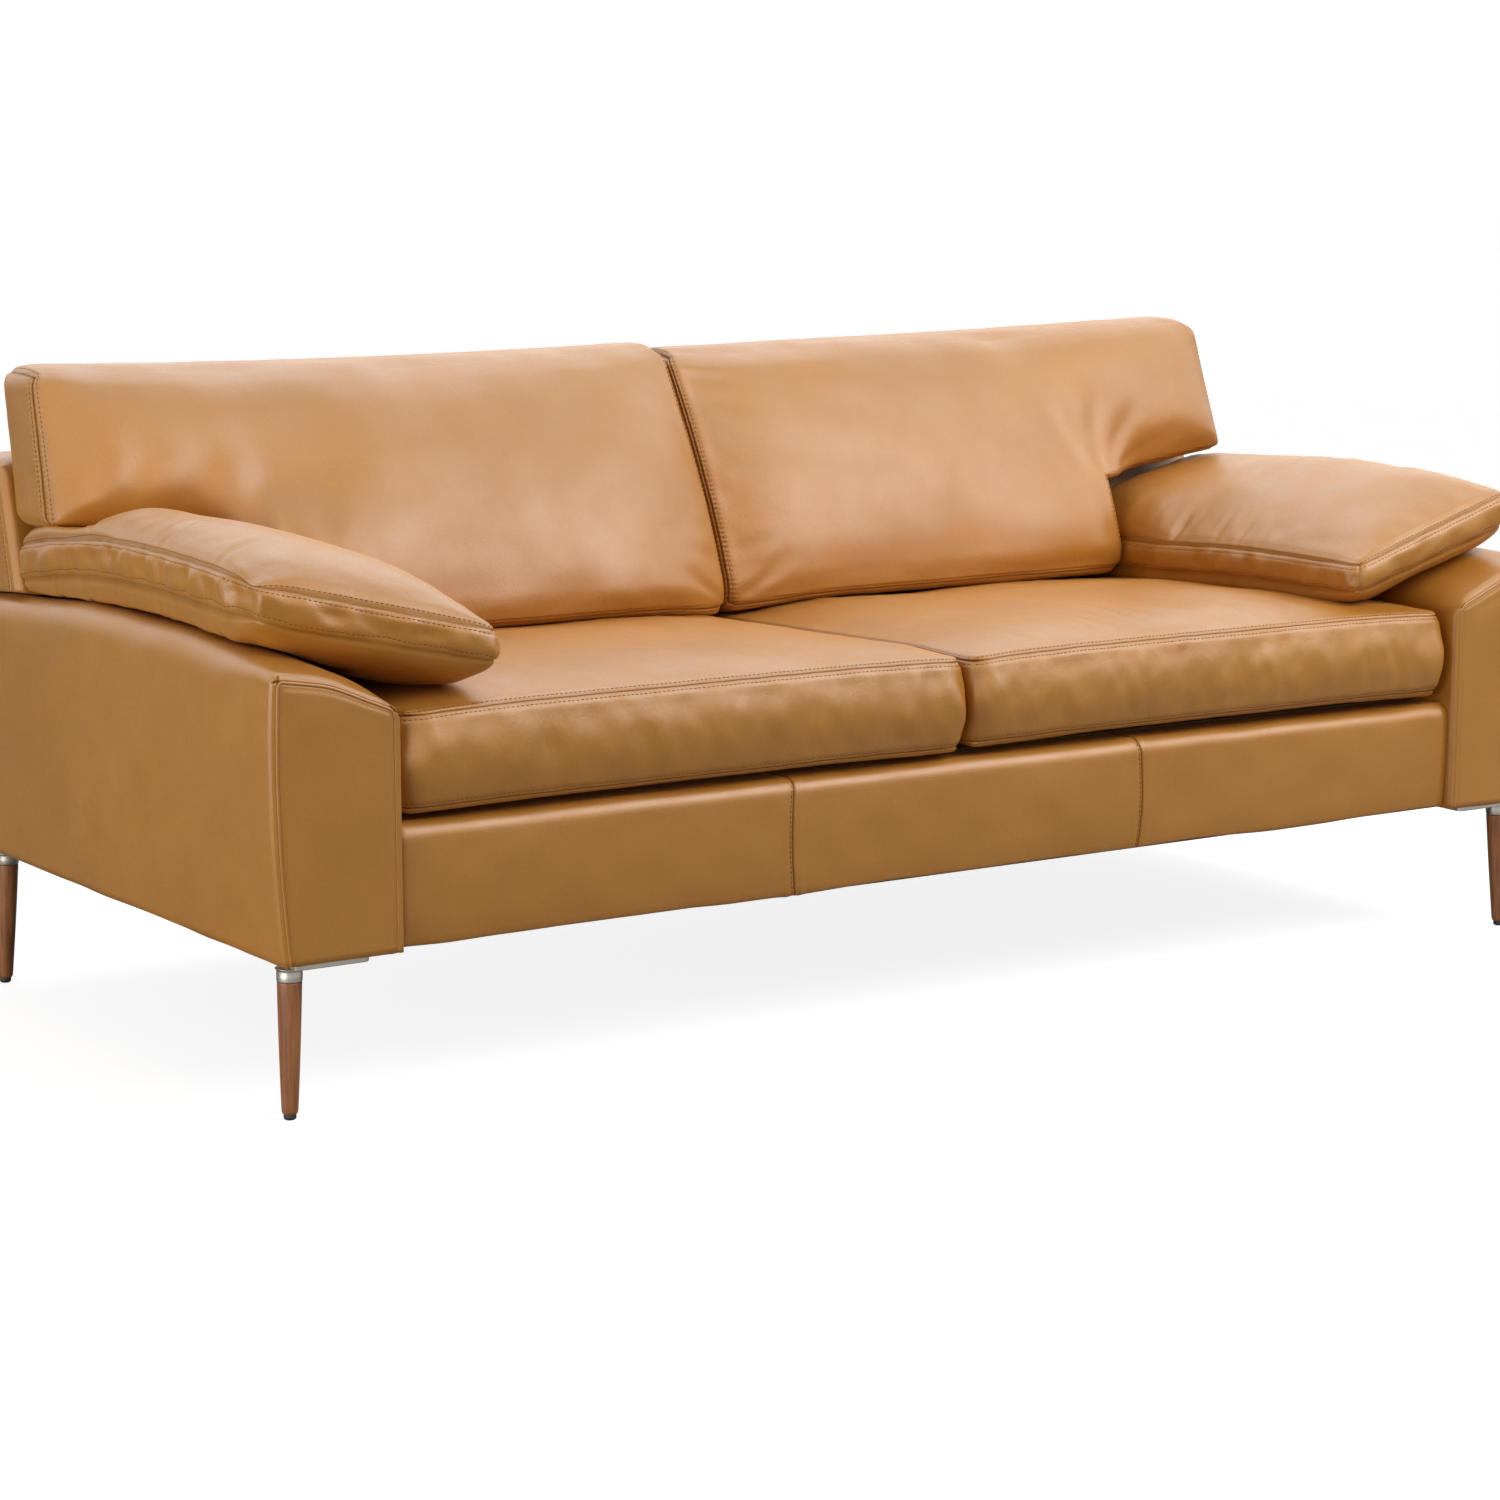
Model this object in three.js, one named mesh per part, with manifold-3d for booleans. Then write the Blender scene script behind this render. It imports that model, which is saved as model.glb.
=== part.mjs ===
// Two-seat leather sofa with six loose cushions, padded arms and slim turned wooden legs.
// Millimetres, +Z up, front facing -Y, +X to the right as seen from the front.
// The origin is on the floor under the middle of the sofa.
import * as THREE from 'three';
import { mergeVertices } from 'three/addons/utils/BufferGeometryUtils.js';
import Module from 'manifold-3d';

const wasm = await Module();
wasm.setup();

// ---- driving dimensions -------------------------------------------------------------------------
const HALF_WIDTH = 1000; // outer face of an arm at its widest
const FRONT_Y = -459; // front face of the arms
const REAR_Y = 459; // rear face of the arms and of the back
const UNDERSIDE_Z = 188.5; // underside of arms, front rail and back
const GAP = 0.4; // clearance between touching pieces
const WALL = 14; // leather and foam over the frame

const ARM_INNER_X = 832;
const ARM_FOOT_X = 989; // outer face of an arm at its underside
const ARM_KNEE = { x: 852, z: 477 }; // inner knee of the sloping arm top
const ARM_TOP = { x: 976, z: 524 }; // outer, high end of the sloping arm top
const ARM_CROWN = { rise: 34, y: -100, frontSpan: 359, rearSpan: 559 }; // long crown of the arm top
const CROWN_FADE = { low: 160, high: 20 }; // depths under the knee between which the crown dies out
const ARM_OUTLINE = {
  belly: 3, bellyZ: 400, shoulder: 20, crestRun: 55, crestFall: 2, kneeFall: 14, kneeRun: 45,
};
const ARM_INSET = { knee: 0.55, crest: 0.7, drop: 1.05 }; // how far each point moves per unit of inset
const FACING_DEPTH = 12; // padded board that closes the front of an arm

const RAIL = { frontY: -446, topZ: 337, halfLength: ARM_INNER_X - 1, depth: 62, wall: 12, edge: 16 };
const BOARD = 23; // thickness of the frame timber
const BLOCK = { height: 28, length: 130 }; // corner blocks over the leg brackets
const ARM_BOARDS = { innerTall: 90, outerTall: 72, topFromPost: 22, topFromOutside: 14, topThick: 20 };
const FRAME_BOARDS = {
  frontFoot: 204, rearFoot: 200, stretcherEnd: 386, stretcherTop: 262, backLow: 620, backHigh: 686,
};

const BACK = {
  rake: 0.3, kneeZ: 534, kneeY: 286, topZ: 712, footZ: 330, footDepth: 54, edge: 20, wingDrop: 120,
};
const BACK_WING_X = 990; // the back reaches over the arms, flush with their outer faces
const PANEL_DEPTH = 6; // outside back panel
const WING_BEVEL = 8; // rounding of the back's ends

const DECK = { z: 341.5, slope: 0.03, thick: 20 }; // seat platform: height at the front, fall to the rear
const DUST_COVER = { widthX: 972, depthY: 424, cornerX: 864, cornerY: 318, thick: 1.8 };
const SPRING = { count: 8, wire: 3.6, swing: 24, waves: 11, drop: 14 };

const SEAT = { front: -456, rear: 222, split: 2.5, outer: 825, bottom: 344, seamTop: 466, crown: 20 };
const BACK_CUSHION = { bottom: 469, top: 833, split: 3, bodyX: 683, earX: 976, earZ: 602, earRise: 45 };
const BACK_FILL = { bottom: 190, top: 94, edge: 14, edgeIn: 9 }; // thickness low down and at the top
const ARM_CUSHION = { inner: 690, outer: 986, front: -446, rear: 276, border: 44, crown: 66, sag: 36 };
const ARM_CUSHION_PLANE = { innerZ: 516, outerZ: 600, skew: 60, rise: 0.1 };
const EAR = { front: 150, blend: 160 }; // where a back cushion's ear starts over the arm cushion
const BACK_SIDES = { start: 180, thinning: 0.22 }; // a back cushion thins towards its ends
const REST = 5; // air between a cushion and what it rests on

const LEG = { x: 962, y: 417, topRadius: 14.7, footRadius: 9.8, splay: 0.036, sides: 20 };
const GLIDE = { radius: 7.6, height: 7, stemRadius: 2, stemLength: 12 };
const BRACKET = { thick: 9.5, reach: 94, collarRadius: 15.4, collarHeight: 15.5, screw: 2.6 };
const SCREW_PLACES = [0.46, 0.84]; // along each arm of the bracket
const BRACKET_ARM = { outer: 24, inner: 14, sideOuter: 4, sideInner: 24, round: 9 }; // from the leg's axis
const BOLT = { radius: 4, intoLeg: 38, aboveLeg: 36, slack: 1.6 };

// ---- materials ----------------------------------------------------------------------------------
const finish = {
  leather: { color: 0xb07c42, roughness: 0.5, metalness: 0 },
  walnut: { color: 0x8c5532, roughness: 0.45, metalness: 0 },
  frameWood: { color: 0xd8b98a, roughness: 0.8, metalness: 0 },
  aluminium: { color: 0xc8c3b4, roughness: 0.35, metalness: 1 },
  steel: { color: 0x9a9c9e, roughness: 0.4, metalness: 1 },
  blackPlastic: { color: 0x18181a, roughness: 0.5, metalness: 0 },
  deckCloth: { color: 0x9a7a52, roughness: 0.9, metalness: 0 },
  dustCover: { color: 0x202022, roughness: 1, metalness: 0 },
};

const sofa = new THREE.Group();
sofa.name = 'sofa';

function add(name, geometry, look) {
  const mesh = new THREE.Mesh(geometry, new THREE.MeshStandardMaterial(finish[look]));
  mesh.name = name;
  sofa.add(mesh);
  return mesh;
}

// ---- solids -------------------------------------------------------------------------------------
function toSolid(geometry) {
  const bare = geometry.clone();
  bare.deleteAttribute('normal');
  bare.deleteAttribute('uv');
  const merged = mergeVertices(bare, 1e-3);
  return new wasm.Manifold(new wasm.Mesh({
    numProp: 3,
    vertProperties: new Float32Array(merged.attributes.position.array),
    triVerts: new Uint32Array(merged.index.array),
  }));
}

function toGeometry(solid) {
  const mesh = solid.getMesh();
  const geometry = new THREE.BufferGeometry();
  geometry.setAttribute('position', new THREE.BufferAttribute(new Float32Array(mesh.vertProperties), 3));
  geometry.setIndex(new THREE.BufferAttribute(new Uint32Array(mesh.triVerts), 1));
  geometry.computeVertexNormals();
  return geometry;
}

const subtract = (base, ...tools) =>
  toGeometry(tools.reduce((solid, tool) => solid.subtract(toSolid(tool)), toSolid(base)));
const join = (base, ...others) =>
  toGeometry(others.reduce((solid, other) => solid.add(toSolid(other)), toSolid(base)));

// A piece made for the right rear quarter, placed in the quarter with the given signs. Where that
// mirrors it, each face is turned round.
function placed(geometry, signX, signY = 1) {
  const copy = toGeometry(toSolid(geometry));
  copy.scale(signX, signY, 1);
  const index = copy.index.array;
  if (signX * signY < 0) {
    for (let i = 0; i < index.length; i += 3) [index[i], index[i + 1]] = [index[i + 1], index[i]];
  }
  copy.computeVertexNormals();
  return copy;
}

const mirrored = (geometry) => placed(geometry, -1);

// Moves every vertex of a geometry by a function of its own position.
function reshape(geometry, move) {
  const position = geometry.attributes.position;
  const point = new THREE.Vector3();
  for (let i = 0; i < position.count; i += 1) {
    point.fromBufferAttribute(position, i);
    move(point);
    position.setXYZ(i, point.x, point.y, point.z);
  }
  return geometry;
}

const AXIS_X = new THREE.Vector3(1, 0, 0);
const AXIS_Y = new THREE.Vector3(0, 1, 0);
const AXIS_Z = new THREE.Vector3(0, 0, 1);

// An outline drawn in (y, z), extruded from x0 to x1.
function alongX(shape, x0, x1, options = {}) {
  const settings = { bevelEnabled: false, curveSegments: 5, ...options, depth: x1 - x0 };
  const geometry = new THREE.ExtrudeGeometry(shape, settings);
  geometry.applyMatrix4(new THREE.Matrix4().makeBasis(AXIS_Y, AXIS_Z, AXIS_X));
  return geometry.translate(x0, 0, 0);
}

// An outline drawn in (x, z), extruded from y0 to y1.
function alongY(shape, y0, y1, options = {}) {
  const settings = { bevelEnabled: false, curveSegments: 5, ...options, depth: y1 - y0 };
  const geometry = new THREE.ExtrudeGeometry(shape, settings);
  geometry.applyMatrix4(new THREE.Matrix4().makeBasis(AXIS_X, AXIS_Z, AXIS_Y.clone().negate()));
  return geometry.translate(0, y1, 0);
}

function board(x0, x1, y0, y1, z0, z1) {
  const geometry = new THREE.BoxGeometry(x1 - x0, y1 - y0, z1 - z0);
  return geometry.translate((x0 + x1) / 2, (y0 + y1) / 2, (z0 + z1) / 2);
}

function polygon(points) {
  const shape = new THREE.Shape();
  points.forEach(([a, b], i) => (i ? shape.lineTo(a, b) : shape.moveTo(a, b)));
  shape.closePath();
  return shape;
}

const sides = [['right', (geometry) => geometry], ['left', mirrored]];

// ---- arms ---------------------------------------------------------------------------------------
// Rise of the arm top along its length: highest a little in front of the middle.
function armCrown(y) {
  const span = y < ARM_CROWN.y ? ARM_CROWN.frontSpan : ARM_CROWN.rearSpan;
  return ARM_CROWN.rise * (1 - ((y - ARM_CROWN.y) / span) ** 2);
}

// Section of an arm in (x, z), drawn inset from its outer faces. The top slopes down to the seat.
function armSection(inset, footZ) {
  const { belly, bellyZ, shoulder, crestRun, crestFall, kneeFall, kneeRun } = ARM_OUTLINE;
  const drop = ARM_INSET.drop * inset;
  const knee = { x: ARM_KNEE.x + ARM_INSET.knee * inset, z: ARM_KNEE.z - drop };
  const crest = { x: ARM_TOP.x - ARM_INSET.crest * inset, z: ARM_TOP.z - drop };
  const inner = ARM_INNER_X + inset;
  const outer = HALF_WIDTH - inset;
  const shape = new THREE.Shape();
  shape.moveTo(inner, footZ);
  shape.lineTo(ARM_FOOT_X - inset, footZ);
  shape.quadraticCurveTo(outer + belly, bellyZ, outer, crest.z - shoulder);
  shape.quadraticCurveTo(outer, crest.z, crest.x, crest.z);
  shape.quadraticCurveTo(crest.x - crestRun, crest.z - crestFall, knee.x, knee.z);
  shape.quadraticCurveTo(inner, knee.z - kneeFall, inner, knee.z - kneeRun);
  shape.closePath();
  return shape;
}

function armBlock(inset, footZ, y0, y1, steps) {
  const blank = alongY(armSection(inset, footZ), y0, y1, { steps });
  return reshape(blank, (p) => {
    const share = THREE.MathUtils.smoothstep(p.z, ARM_KNEE.z - CROWN_FADE.low, ARM_KNEE.z - CROWN_FADE.high);
    p.z += share * armCrown(p.y);
  });
}

function armCover() {
  const front = FRONT_Y + FACING_DEPTH + GAP;
  const outside = armBlock(0, UNDERSIDE_Z, front, REAR_Y, 12);
  const inside = armBlock(WALL, UNDERSIDE_Z - 20, front - 1, REAR_Y - WALL, 12);
  return subtract(outside, inside);
}

// Bevel settings that round the ends of an extrusion without making it any larger.
function bevelled(thickness, size = thickness) {
  return {
    bevelEnabled: true, bevelThickness: thickness, bevelSize: size, bevelOffset: -size, bevelSegments: 2,
  };
}

function armFacing() {
  const edge = FACING_DEPTH / 4;
  const rear = FRONT_Y + FACING_DEPTH;
  const blank = alongY(armSection(0, UNDERSIDE_Z), FRONT_Y + edge, rear, bevelled(edge));
  return subtract(blank, board(0, 2 * HALF_WIDTH, rear, rear + 2 * edge, 0, BACK.topZ));
}

const ARM_FRAME = {
  inner: ARM_INNER_X + WALL + 2,
  outer: ARM_FOOT_X - WALL - 2,
  end: REAR_Y - WALL - 3,
  frontEnd: FRONT_Y + FACING_DEPTH + 2,
  floor: UNDERSIDE_Z + 0.5,
  top: 461,
};

function armFrame() {
  const { inner, outer, end, frontEnd, floor, top } = ARM_FRAME;
  const { innerTall, outerTall, topFromPost, topFromOutside, topThick } = ARM_BOARDS;
  const railZ = floor + BLOCK.height + GAP;
  const postIn = inner + BOARD + GAP;
  const postOut = outer - BOARD - GAP;
  return {
    arm_inner_rail: board(inner, inner + BOARD, frontEnd, end, railZ, railZ + innerTall),
    arm_outer_rail: board(outer - BOARD, outer, frontEnd, end, railZ, railZ + outerTall),
    arm_front_post: board(postIn, postOut, frontEnd, frontEnd + BOARD, railZ, top - GAP),
    arm_rear_post: board(postIn, postOut, end - BOARD, end, railZ, top - GAP),
    arm_top_rail: board(postIn + topFromPost, outer - topFromOutside, frontEnd, end, top, top + topThick),
  };
}

function cornerBlocks() {
  const { inner, outer, end, frontEnd, floor } = ARM_FRAME;
  const radius = BOLT.radius + BOLT.slack;
  const bore = new THREE.CylinderGeometry(radius, radius, 4 * BLOCK.height, 12).rotateX(Math.PI / 2);
  const block = (y0, y1, legY) => {
    const blank = board(inner, outer, y0, y1, floor, floor + BLOCK.height);
    return subtract(blank, bore.clone().translate(LEG.x, legY, floor));
  };
  return {
    corner_block_front: block(frontEnd, frontEnd + BLOCK.length, -LEG.y),
    corner_block_rear: block(end - BLOCK.length, end, LEG.y),
  };
}

// ---- front rail and seat platform ---------------------------------------------------------------
function railSection(inset) {
  const { frontY, topZ, depth, edge } = RAIL;
  const front = frontY + inset;
  const top = topZ - inset;
  const radius = edge - inset / 2;
  const rear = frontY + depth + (inset ? 2 : 0);
  const shape = new THREE.Shape();
  shape.moveTo(rear, UNDERSIDE_Z + inset);
  shape.lineTo(rear, top);
  shape.lineTo(front + radius, top);
  shape.quadraticCurveTo(front, top, front, top - radius);
  shape.lineTo(front, UNDERSIDE_Z + inset + 4);
  shape.lineTo(front + 4, UNDERSIDE_Z + inset);
  shape.closePath();
  return shape;
}

function frontRailCover() {
  const { halfLength, wall } = RAIL;
  const outside = alongX(railSection(0), -halfLength, halfLength);
  const inside = alongX(railSection(wall), -halfLength - 5, halfLength + 5);
  return subtract(outside, inside);
}

const FRONT_RAIL_Y = RAIL.frontY + RAIL.wall + 1;
const REAR_RAIL_Y = REAR_Y - PANEL_DEPTH - WALL - BOARD - 1;
const RAIL_TOP = 300;

function deckZ(y) {
  return DECK.z - DECK.slope * (y - RAIL.frontY);
}

function deckPad() {
  const front = RAIL.frontY + RAIL.depth + 1;
  const rear = backFront(DECK.z) - 6;
  const outline = polygon([
    [front, deckZ(front) - DECK.thick], [rear, deckZ(rear) - DECK.thick],
    [rear, deckZ(rear)], [front, deckZ(front)],
  ]);
  return alongX(outline, -RAIL.halfLength + 3, RAIL.halfLength - 3);
}

// Dust cover under the whole sofa, cut away at the corners for the leg brackets.
function dustCover() {
  const { widthX, depthY, cornerX, cornerY, thick } = DUST_COVER;
  const quarter = [[cornerX, depthY], [cornerX, cornerY], [widthX, cornerY]];
  const outline = polygon([
    ...quarter, ...quarter.map(([x, y]) => [x, -y]).reverse(),
    ...quarter.map(([x, y]) => [-x, -y]), ...quarter.map(([x, y]) => [-x, y]).reverse(),
  ]);
  const sheet = new THREE.ExtrudeGeometry(outline, { depth: thick, bevelEnabled: false });
  return sheet.translate(0, 0, UNDERSIDE_Z - GAP - thick);
}

// Sinuous spring: flat waves of wire, slung from the front rail to the rear rail.
class SpringLine extends THREE.Curve {
  constructor(x, y0, y1, z) {
    super();
    Object.assign(this, { x, y0, y1, z });
  }

  getPoint(t, target = new THREE.Vector3()) {
    const sag = SPRING.drop * Math.sin(Math.PI * t);
    const swing = SPRING.swing * Math.sin(2 * Math.PI * SPRING.waves * t);
    return target.set(this.x + swing, THREE.MathUtils.lerp(this.y0, this.y1, t), this.z - sag);
  }
}

function seatSpring(x) {
  const line = new SpringLine(x, FRONT_RAIL_Y + BOARD + 3, REAR_RAIL_Y - 3, RAIL_TOP - 6);
  const wire = polygon([0, 1, 2, 3].map((i) => {
    const turn = (i + 0.5) * Math.PI / 2;
    return [SPRING.wire / 2 * Math.cos(turn), SPRING.wire / 2 * Math.sin(turn)];
  }));
  const settings = { steps: 4 * SPRING.waves, bevelEnabled: false, extrudePath: line };
  return new THREE.ExtrudeGeometry(wire, settings);
}

// ---- back ---------------------------------------------------------------------------------------
// Front face of the upright back at a height: it leans away from the sitter.
function backFront(z) {
  return BACK.kneeY + BACK.rake * (z - BACK.kneeZ);
}

const BACK_REAR_Y = REAR_Y - PANEL_DEPTH - GAP;

// Section of the back in (y, z), drawn inset from its outer faces: a wedge above the seat and a
// narrower foot that hangs down to the underside.
function backSection(inset, footZ) {
  const top = BACK.topZ - inset;
  const rear = BACK_REAR_Y - inset;
  const ledge = BACK.footZ + inset;
  const footFront = BACK_REAR_Y - BACK.footDepth - (inset ? 2 : 0);
  const front = (z) => backFront(z) + inset * 1.04;
  const radius = BACK.edge - inset / 2;
  const shape = new THREE.Shape();
  shape.moveTo(footFront, footZ);
  shape.lineTo(rear, footZ);
  shape.lineTo(rear, top - radius);
  shape.quadraticCurveTo(rear, top, rear - radius, top);
  shape.lineTo(front(top) + radius, top);
  shape.quadraticCurveTo(front(top), top, front(top - radius), top - radius);
  shape.lineTo(front(ledge), ledge);
  shape.lineTo(footFront, ledge);
  shape.closePath();
  return shape;
}

function backWing(inset) {
  const section = backSection(inset, UNDERSIDE_Z);
  const width = BACK_WING_X - inset;
  const edge = inset ? 0 : WING_BEVEL;
  const wing = alongX(section, -width + edge, width - edge, inset ? {} : bevelled(edge));
  const below = board(-HALF_WIDTH, HALF_WIDTH, 0, HALF_WIDTH, 0, BACK.kneeZ - BACK.wingDrop + inset);
  return subtract(wing, below);
}

function backBody(inset, footZ) {
  const width = RAIL.halfLength - inset;
  return alongX(backSection(inset, footZ), -width, width);
}

// What the arms take out of the back where it sits over them.
function armClearance() {
  const right = armBlock(-1, UNDERSIDE_Z - 10, 0, HALF_WIDTH, 12);
  return [right, mirrored(right)];
}

function backCover() {
  const outside = join(backWing(0), backBody(0, UNDERSIDE_Z));
  const seated = subtract(outside, ...armClearance());
  const arm = armBlock(-WALL, UNDERSIDE_Z - 10, 0, HALF_WIDTH, 12);
  const inside = subtract(backWing(WALL), arm, mirrored(arm));
  return subtract(seated, inside, backBody(WALL, UNDERSIDE_Z - 20));
}

function backOuterPanel() {
  const outline = new THREE.Shape();
  const low = UNDERSIDE_Z + 2;
  const high = BACK.topZ - BACK.edge;
  const width = RAIL.halfLength - 2;
  outline.moveTo(-width, low);
  outline.lineTo(width, low);
  outline.lineTo(width, high - 8);
  outline.quadraticCurveTo(width, high, width - 8, high);
  outline.lineTo(-width + 8, high);
  outline.quadraticCurveTo(-width, high, -width, high - 8);
  outline.closePath();
  return alongY(outline, REAR_Y - PANEL_DEPTH, REAR_Y);
}

function backPost(x) {
  const { footZ, topZ } = BACK;
  const low = footZ + WALL + 4;
  const high = topZ - WALL - 12;
  const front = (z) => backFront(z) + WALL + 5;
  const rear = REAR_RAIL_Y - GAP;
  const outline = polygon([[front(low), low], [rear, low], [rear, high], [front(high), high]]);
  return alongX(outline, x - BOARD / 2, x + BOARD / 2);
}

// ---- legs ---------------------------------------------------------------------------------------
const COLLAR_FOOT_Z = UNDERSIDE_Z - GAP - BRACKET.thick - BRACKET.collarHeight;
const LEG_TOP_Z = COLLAR_FOOT_Z - GAP;

// Leans a piece outwards and keeps its level faces level, as a leg cut to stand flat.
function splayed(geometry) {
  return reshape(geometry, (p) => {
    const lean = LEG.splay * (UNDERSIDE_Z - p.z);
    p.x += LEG.x + lean;
    p.y += LEG.y + lean;
  });
}

function lathe(points) {
  const outline = points.map(([radius, z]) => new THREE.Vector2(radius, z));
  return new THREE.LatheGeometry(outline, LEG.sides).rotateX(Math.PI / 2);
}

function leg() {
  const foot = GLIDE.height + GAP;
  const stem = { r: GLIDE.stemRadius + GAP, top: GLIDE.height + GLIDE.stemLength + 1 };
  const bore = { r: BOLT.radius + GAP, bottom: LEG_TOP_Z - BOLT.intoLeg - 2 };
  const belly = THREE.MathUtils.lerp(LEG.footRadius, LEG.topRadius, 0.56);
  return splayed(lathe([
    [0, stem.top], [stem.r, stem.top], [stem.r, foot], [LEG.footRadius - 1, foot],
    [LEG.footRadius, foot + 1.5], [belly, (foot + LEG_TOP_Z) / 2], [LEG.topRadius, LEG_TOP_Z],
    [bore.r, LEG_TOP_Z], [bore.r, bore.bottom], [0, bore.bottom],
  ]));
}

function glide() {
  const { radius, height, stemRadius, stemLength } = GLIDE;
  return splayed(lathe([
    [0, 0], [radius - 2, 0], [radius, 2], [radius, height], [stemRadius, height],
    [stemRadius, height + stemLength], [0, height + stemLength],
  ]));
}

function hangerBolt() {
  const low = LEG_TOP_Z - BOLT.intoLeg;
  const high = LEG_TOP_Z + BOLT.aboveLeg;
  return splayed(lathe([
    [0, low], [BOLT.radius - 1.5, low], [BOLT.radius, low + 3], [BOLT.radius, high - 1],
    [BOLT.radius - 1, high], [0, high],
  ]));
}

// Outline of the bracket's plate in (x, y) about the leg: one arm runs along the front or rear
// edge of the sofa, the other along its side, set in from the edge. Both have screw holes.
function plateOutline() {
  const { reach, screw } = BRACKET;
  const { outer, inner, sideOuter, sideInner, round } = BRACKET_ARM;
  const end = -reach;
  const plate = new THREE.Shape();
  plate.moveTo(sideOuter, outer - 2);
  plate.lineTo(sideOuter - 2, outer);
  plate.lineTo(end + round, outer);
  plate.quadraticCurveTo(end, outer, end, outer - round);
  plate.lineTo(end, -inner + round);
  plate.quadraticCurveTo(end, -inner, end + round, -inner);
  plate.lineTo(-sideInner - 4, -inner);
  plate.quadraticCurveTo(-sideInner, -inner, -sideInner, -inner - 4);
  plate.lineTo(-sideInner, end + round);
  plate.quadraticCurveTo(-sideInner, end, -sideInner + round, end);
  plate.lineTo(sideOuter - round, end);
  plate.quadraticCurveTo(sideOuter, end, sideOuter, end + round);
  plate.closePath();
  const middle = (outer - inner) / 2;
  const sideMiddle = (sideOuter - sideInner) / 2;
  for (const along of SCREW_PLACES) {
    for (const [a, b] of [[along * end, middle], [sideMiddle, along * end]]) {
      const hole = new THREE.Path();
      hole.absarc(a, b, screw, 0, 2 * Math.PI, true);
      plate.holes.push(hole);
    }
  }
  return plate;
}

// Cast bracket: an L-shaped plate under the corner block and a collar that the leg butts against.
function bracket() {
  const { thick, collarRadius, collarHeight } = BRACKET;
  const top = UNDERSIDE_Z - GAP;
  const flat = { depth: thick, bevelEnabled: false, curveSegments: 4 };
  const plate = new THREE.ExtrudeGeometry(plateOutline(), flat).translate(LEG.x, LEG.y, top - thick);
  const inPlate = COLLAR_FOOT_Z + collarHeight + 2;
  const collar = splayed(lathe([
    [0, COLLAR_FOOT_Z], [collarRadius - 1.5, COLLAR_FOOT_Z], [collarRadius, COLLAR_FOOT_Z + 1.5],
    [collarRadius - 0.5, inPlate], [0, inPlate],
  ]));
  const bore = splayed(lathe([
    [0, COLLAR_FOOT_Z - 5], [BOLT.radius + GAP, COLLAR_FOOT_Z - 5],
    [BOLT.radius + GAP, top + 5], [0, top + 5],
  ]));
  return subtract(join(plate, collar), bore);
}

// ---- loose cushions -----------------------------------------------------------------------------
// A padded box: corners and edges rounded off, top and bottom crowned.
function padded(size, segments, round, crown) {
  const box = new THREE.BoxGeometry(2, 2, 2, ...segments);
  return reshape(box, (p) => {
    const plan = (1 - p.x ** 6) * (1 - p.y ** 6);
    const dome = (1 - p.x ** 2) * (1 - p.y ** 2);
    const level = p.z;
    const pinch = 1 - round * level ** 4 / Math.min(size.x, size.y);
    p.x *= size.x * pinch * (1 - 0.006 * p.y ** 4);
    p.y *= size.y * pinch * (1 - 0.006 * (p.x / size.x) ** 4);
    const edge = crown.edge * (1 - plan);
    p.z = level * size.z + Math.max(level, 0) * (crown.top * dome - edge)
      + Math.min(level, 0) * (crown.bottom * dome - edge);
  });
}

function seatCushion() {
  const { front, rear, split, outer, bottom, seamTop, crown } = SEAT;
  const half = new THREE.Vector3((outer - split) / 2, (rear - front) / 2, (seamTop + 4 - bottom) / 2);
  const pad = padded(half, [8, 8, 4], 10, { top: crown, bottom: 0, edge: 5 });
  pad.translate((outer + split) / 2, (rear + front) / 2, (seamTop + 4 + bottom) / 2);
  return reshape(pad, (p) => {
    p.z -= DECK.slope * (p.y - front);
  });
}

// Height of the arm's sloping top at a point in plan.
const ARM_LINE = armSection(0, UNDERSIDE_Z).getPoints(6).filter((p) => p.y > ARM_KNEE.z - 60);
function armTop(x, y) {
  let height = 0;
  ARM_LINE.forEach((a, i) => {
    const b = ARM_LINE[i + 1] ?? a;
    if ((a.x - x) * (b.x - x) > 0 || a.x === b.x) return;
    height = Math.max(height, THREE.MathUtils.lerp(a.y, b.y, (x - a.x) / (b.x - a.x)));
  });
  return height + armCrown(y);
}

// Underside of a back cushion's ear, over the arm cushion.
function earUnderside(x) {
  const { bodyX, earX, earZ, earRise } = BACK_CUSHION;
  return earZ + earRise * (x - bodyX) / (earX - bodyX);
}

function armCushion() {
  const { inner, outer, front, rear, border, crown, sag } = ARM_CUSHION;
  const { innerZ, outerZ, skew, rise } = ARM_CUSHION_PLANE;
  const half = new THREE.Vector3((outer - inner) / 2, (rear - front) / 2, border / 2);
  const pad = padded(half, [8, 12, 2], 4, { top: crown, bottom: sag, edge: 2 });
  return reshape(pad, (p) => {
    const outward = (p.x + half.x) / (2 * half.x);
    p.z += THREE.MathUtils.lerp(innerZ, outerZ, outward);
    p.x += (outer + inner) / 2;
    p.y += (rear + front) / 2 + skew * outward * THREE.MathUtils.smoothstep(-p.y, 0, half.y);
    const under = THREE.MathUtils.smoothstep(p.y, EAR.front - EAR.blend, EAR.front);
    const ceiling = earUnderside(p.x) - REST - rise * Math.max(p.y - EAR.front, 0);
    p.z = Math.min(p.z, THREE.MathUtils.lerp(p.z, ceiling, under));
    p.z = Math.max(p.z, armTop(p.x, p.y) + REST);
  });
}

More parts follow.
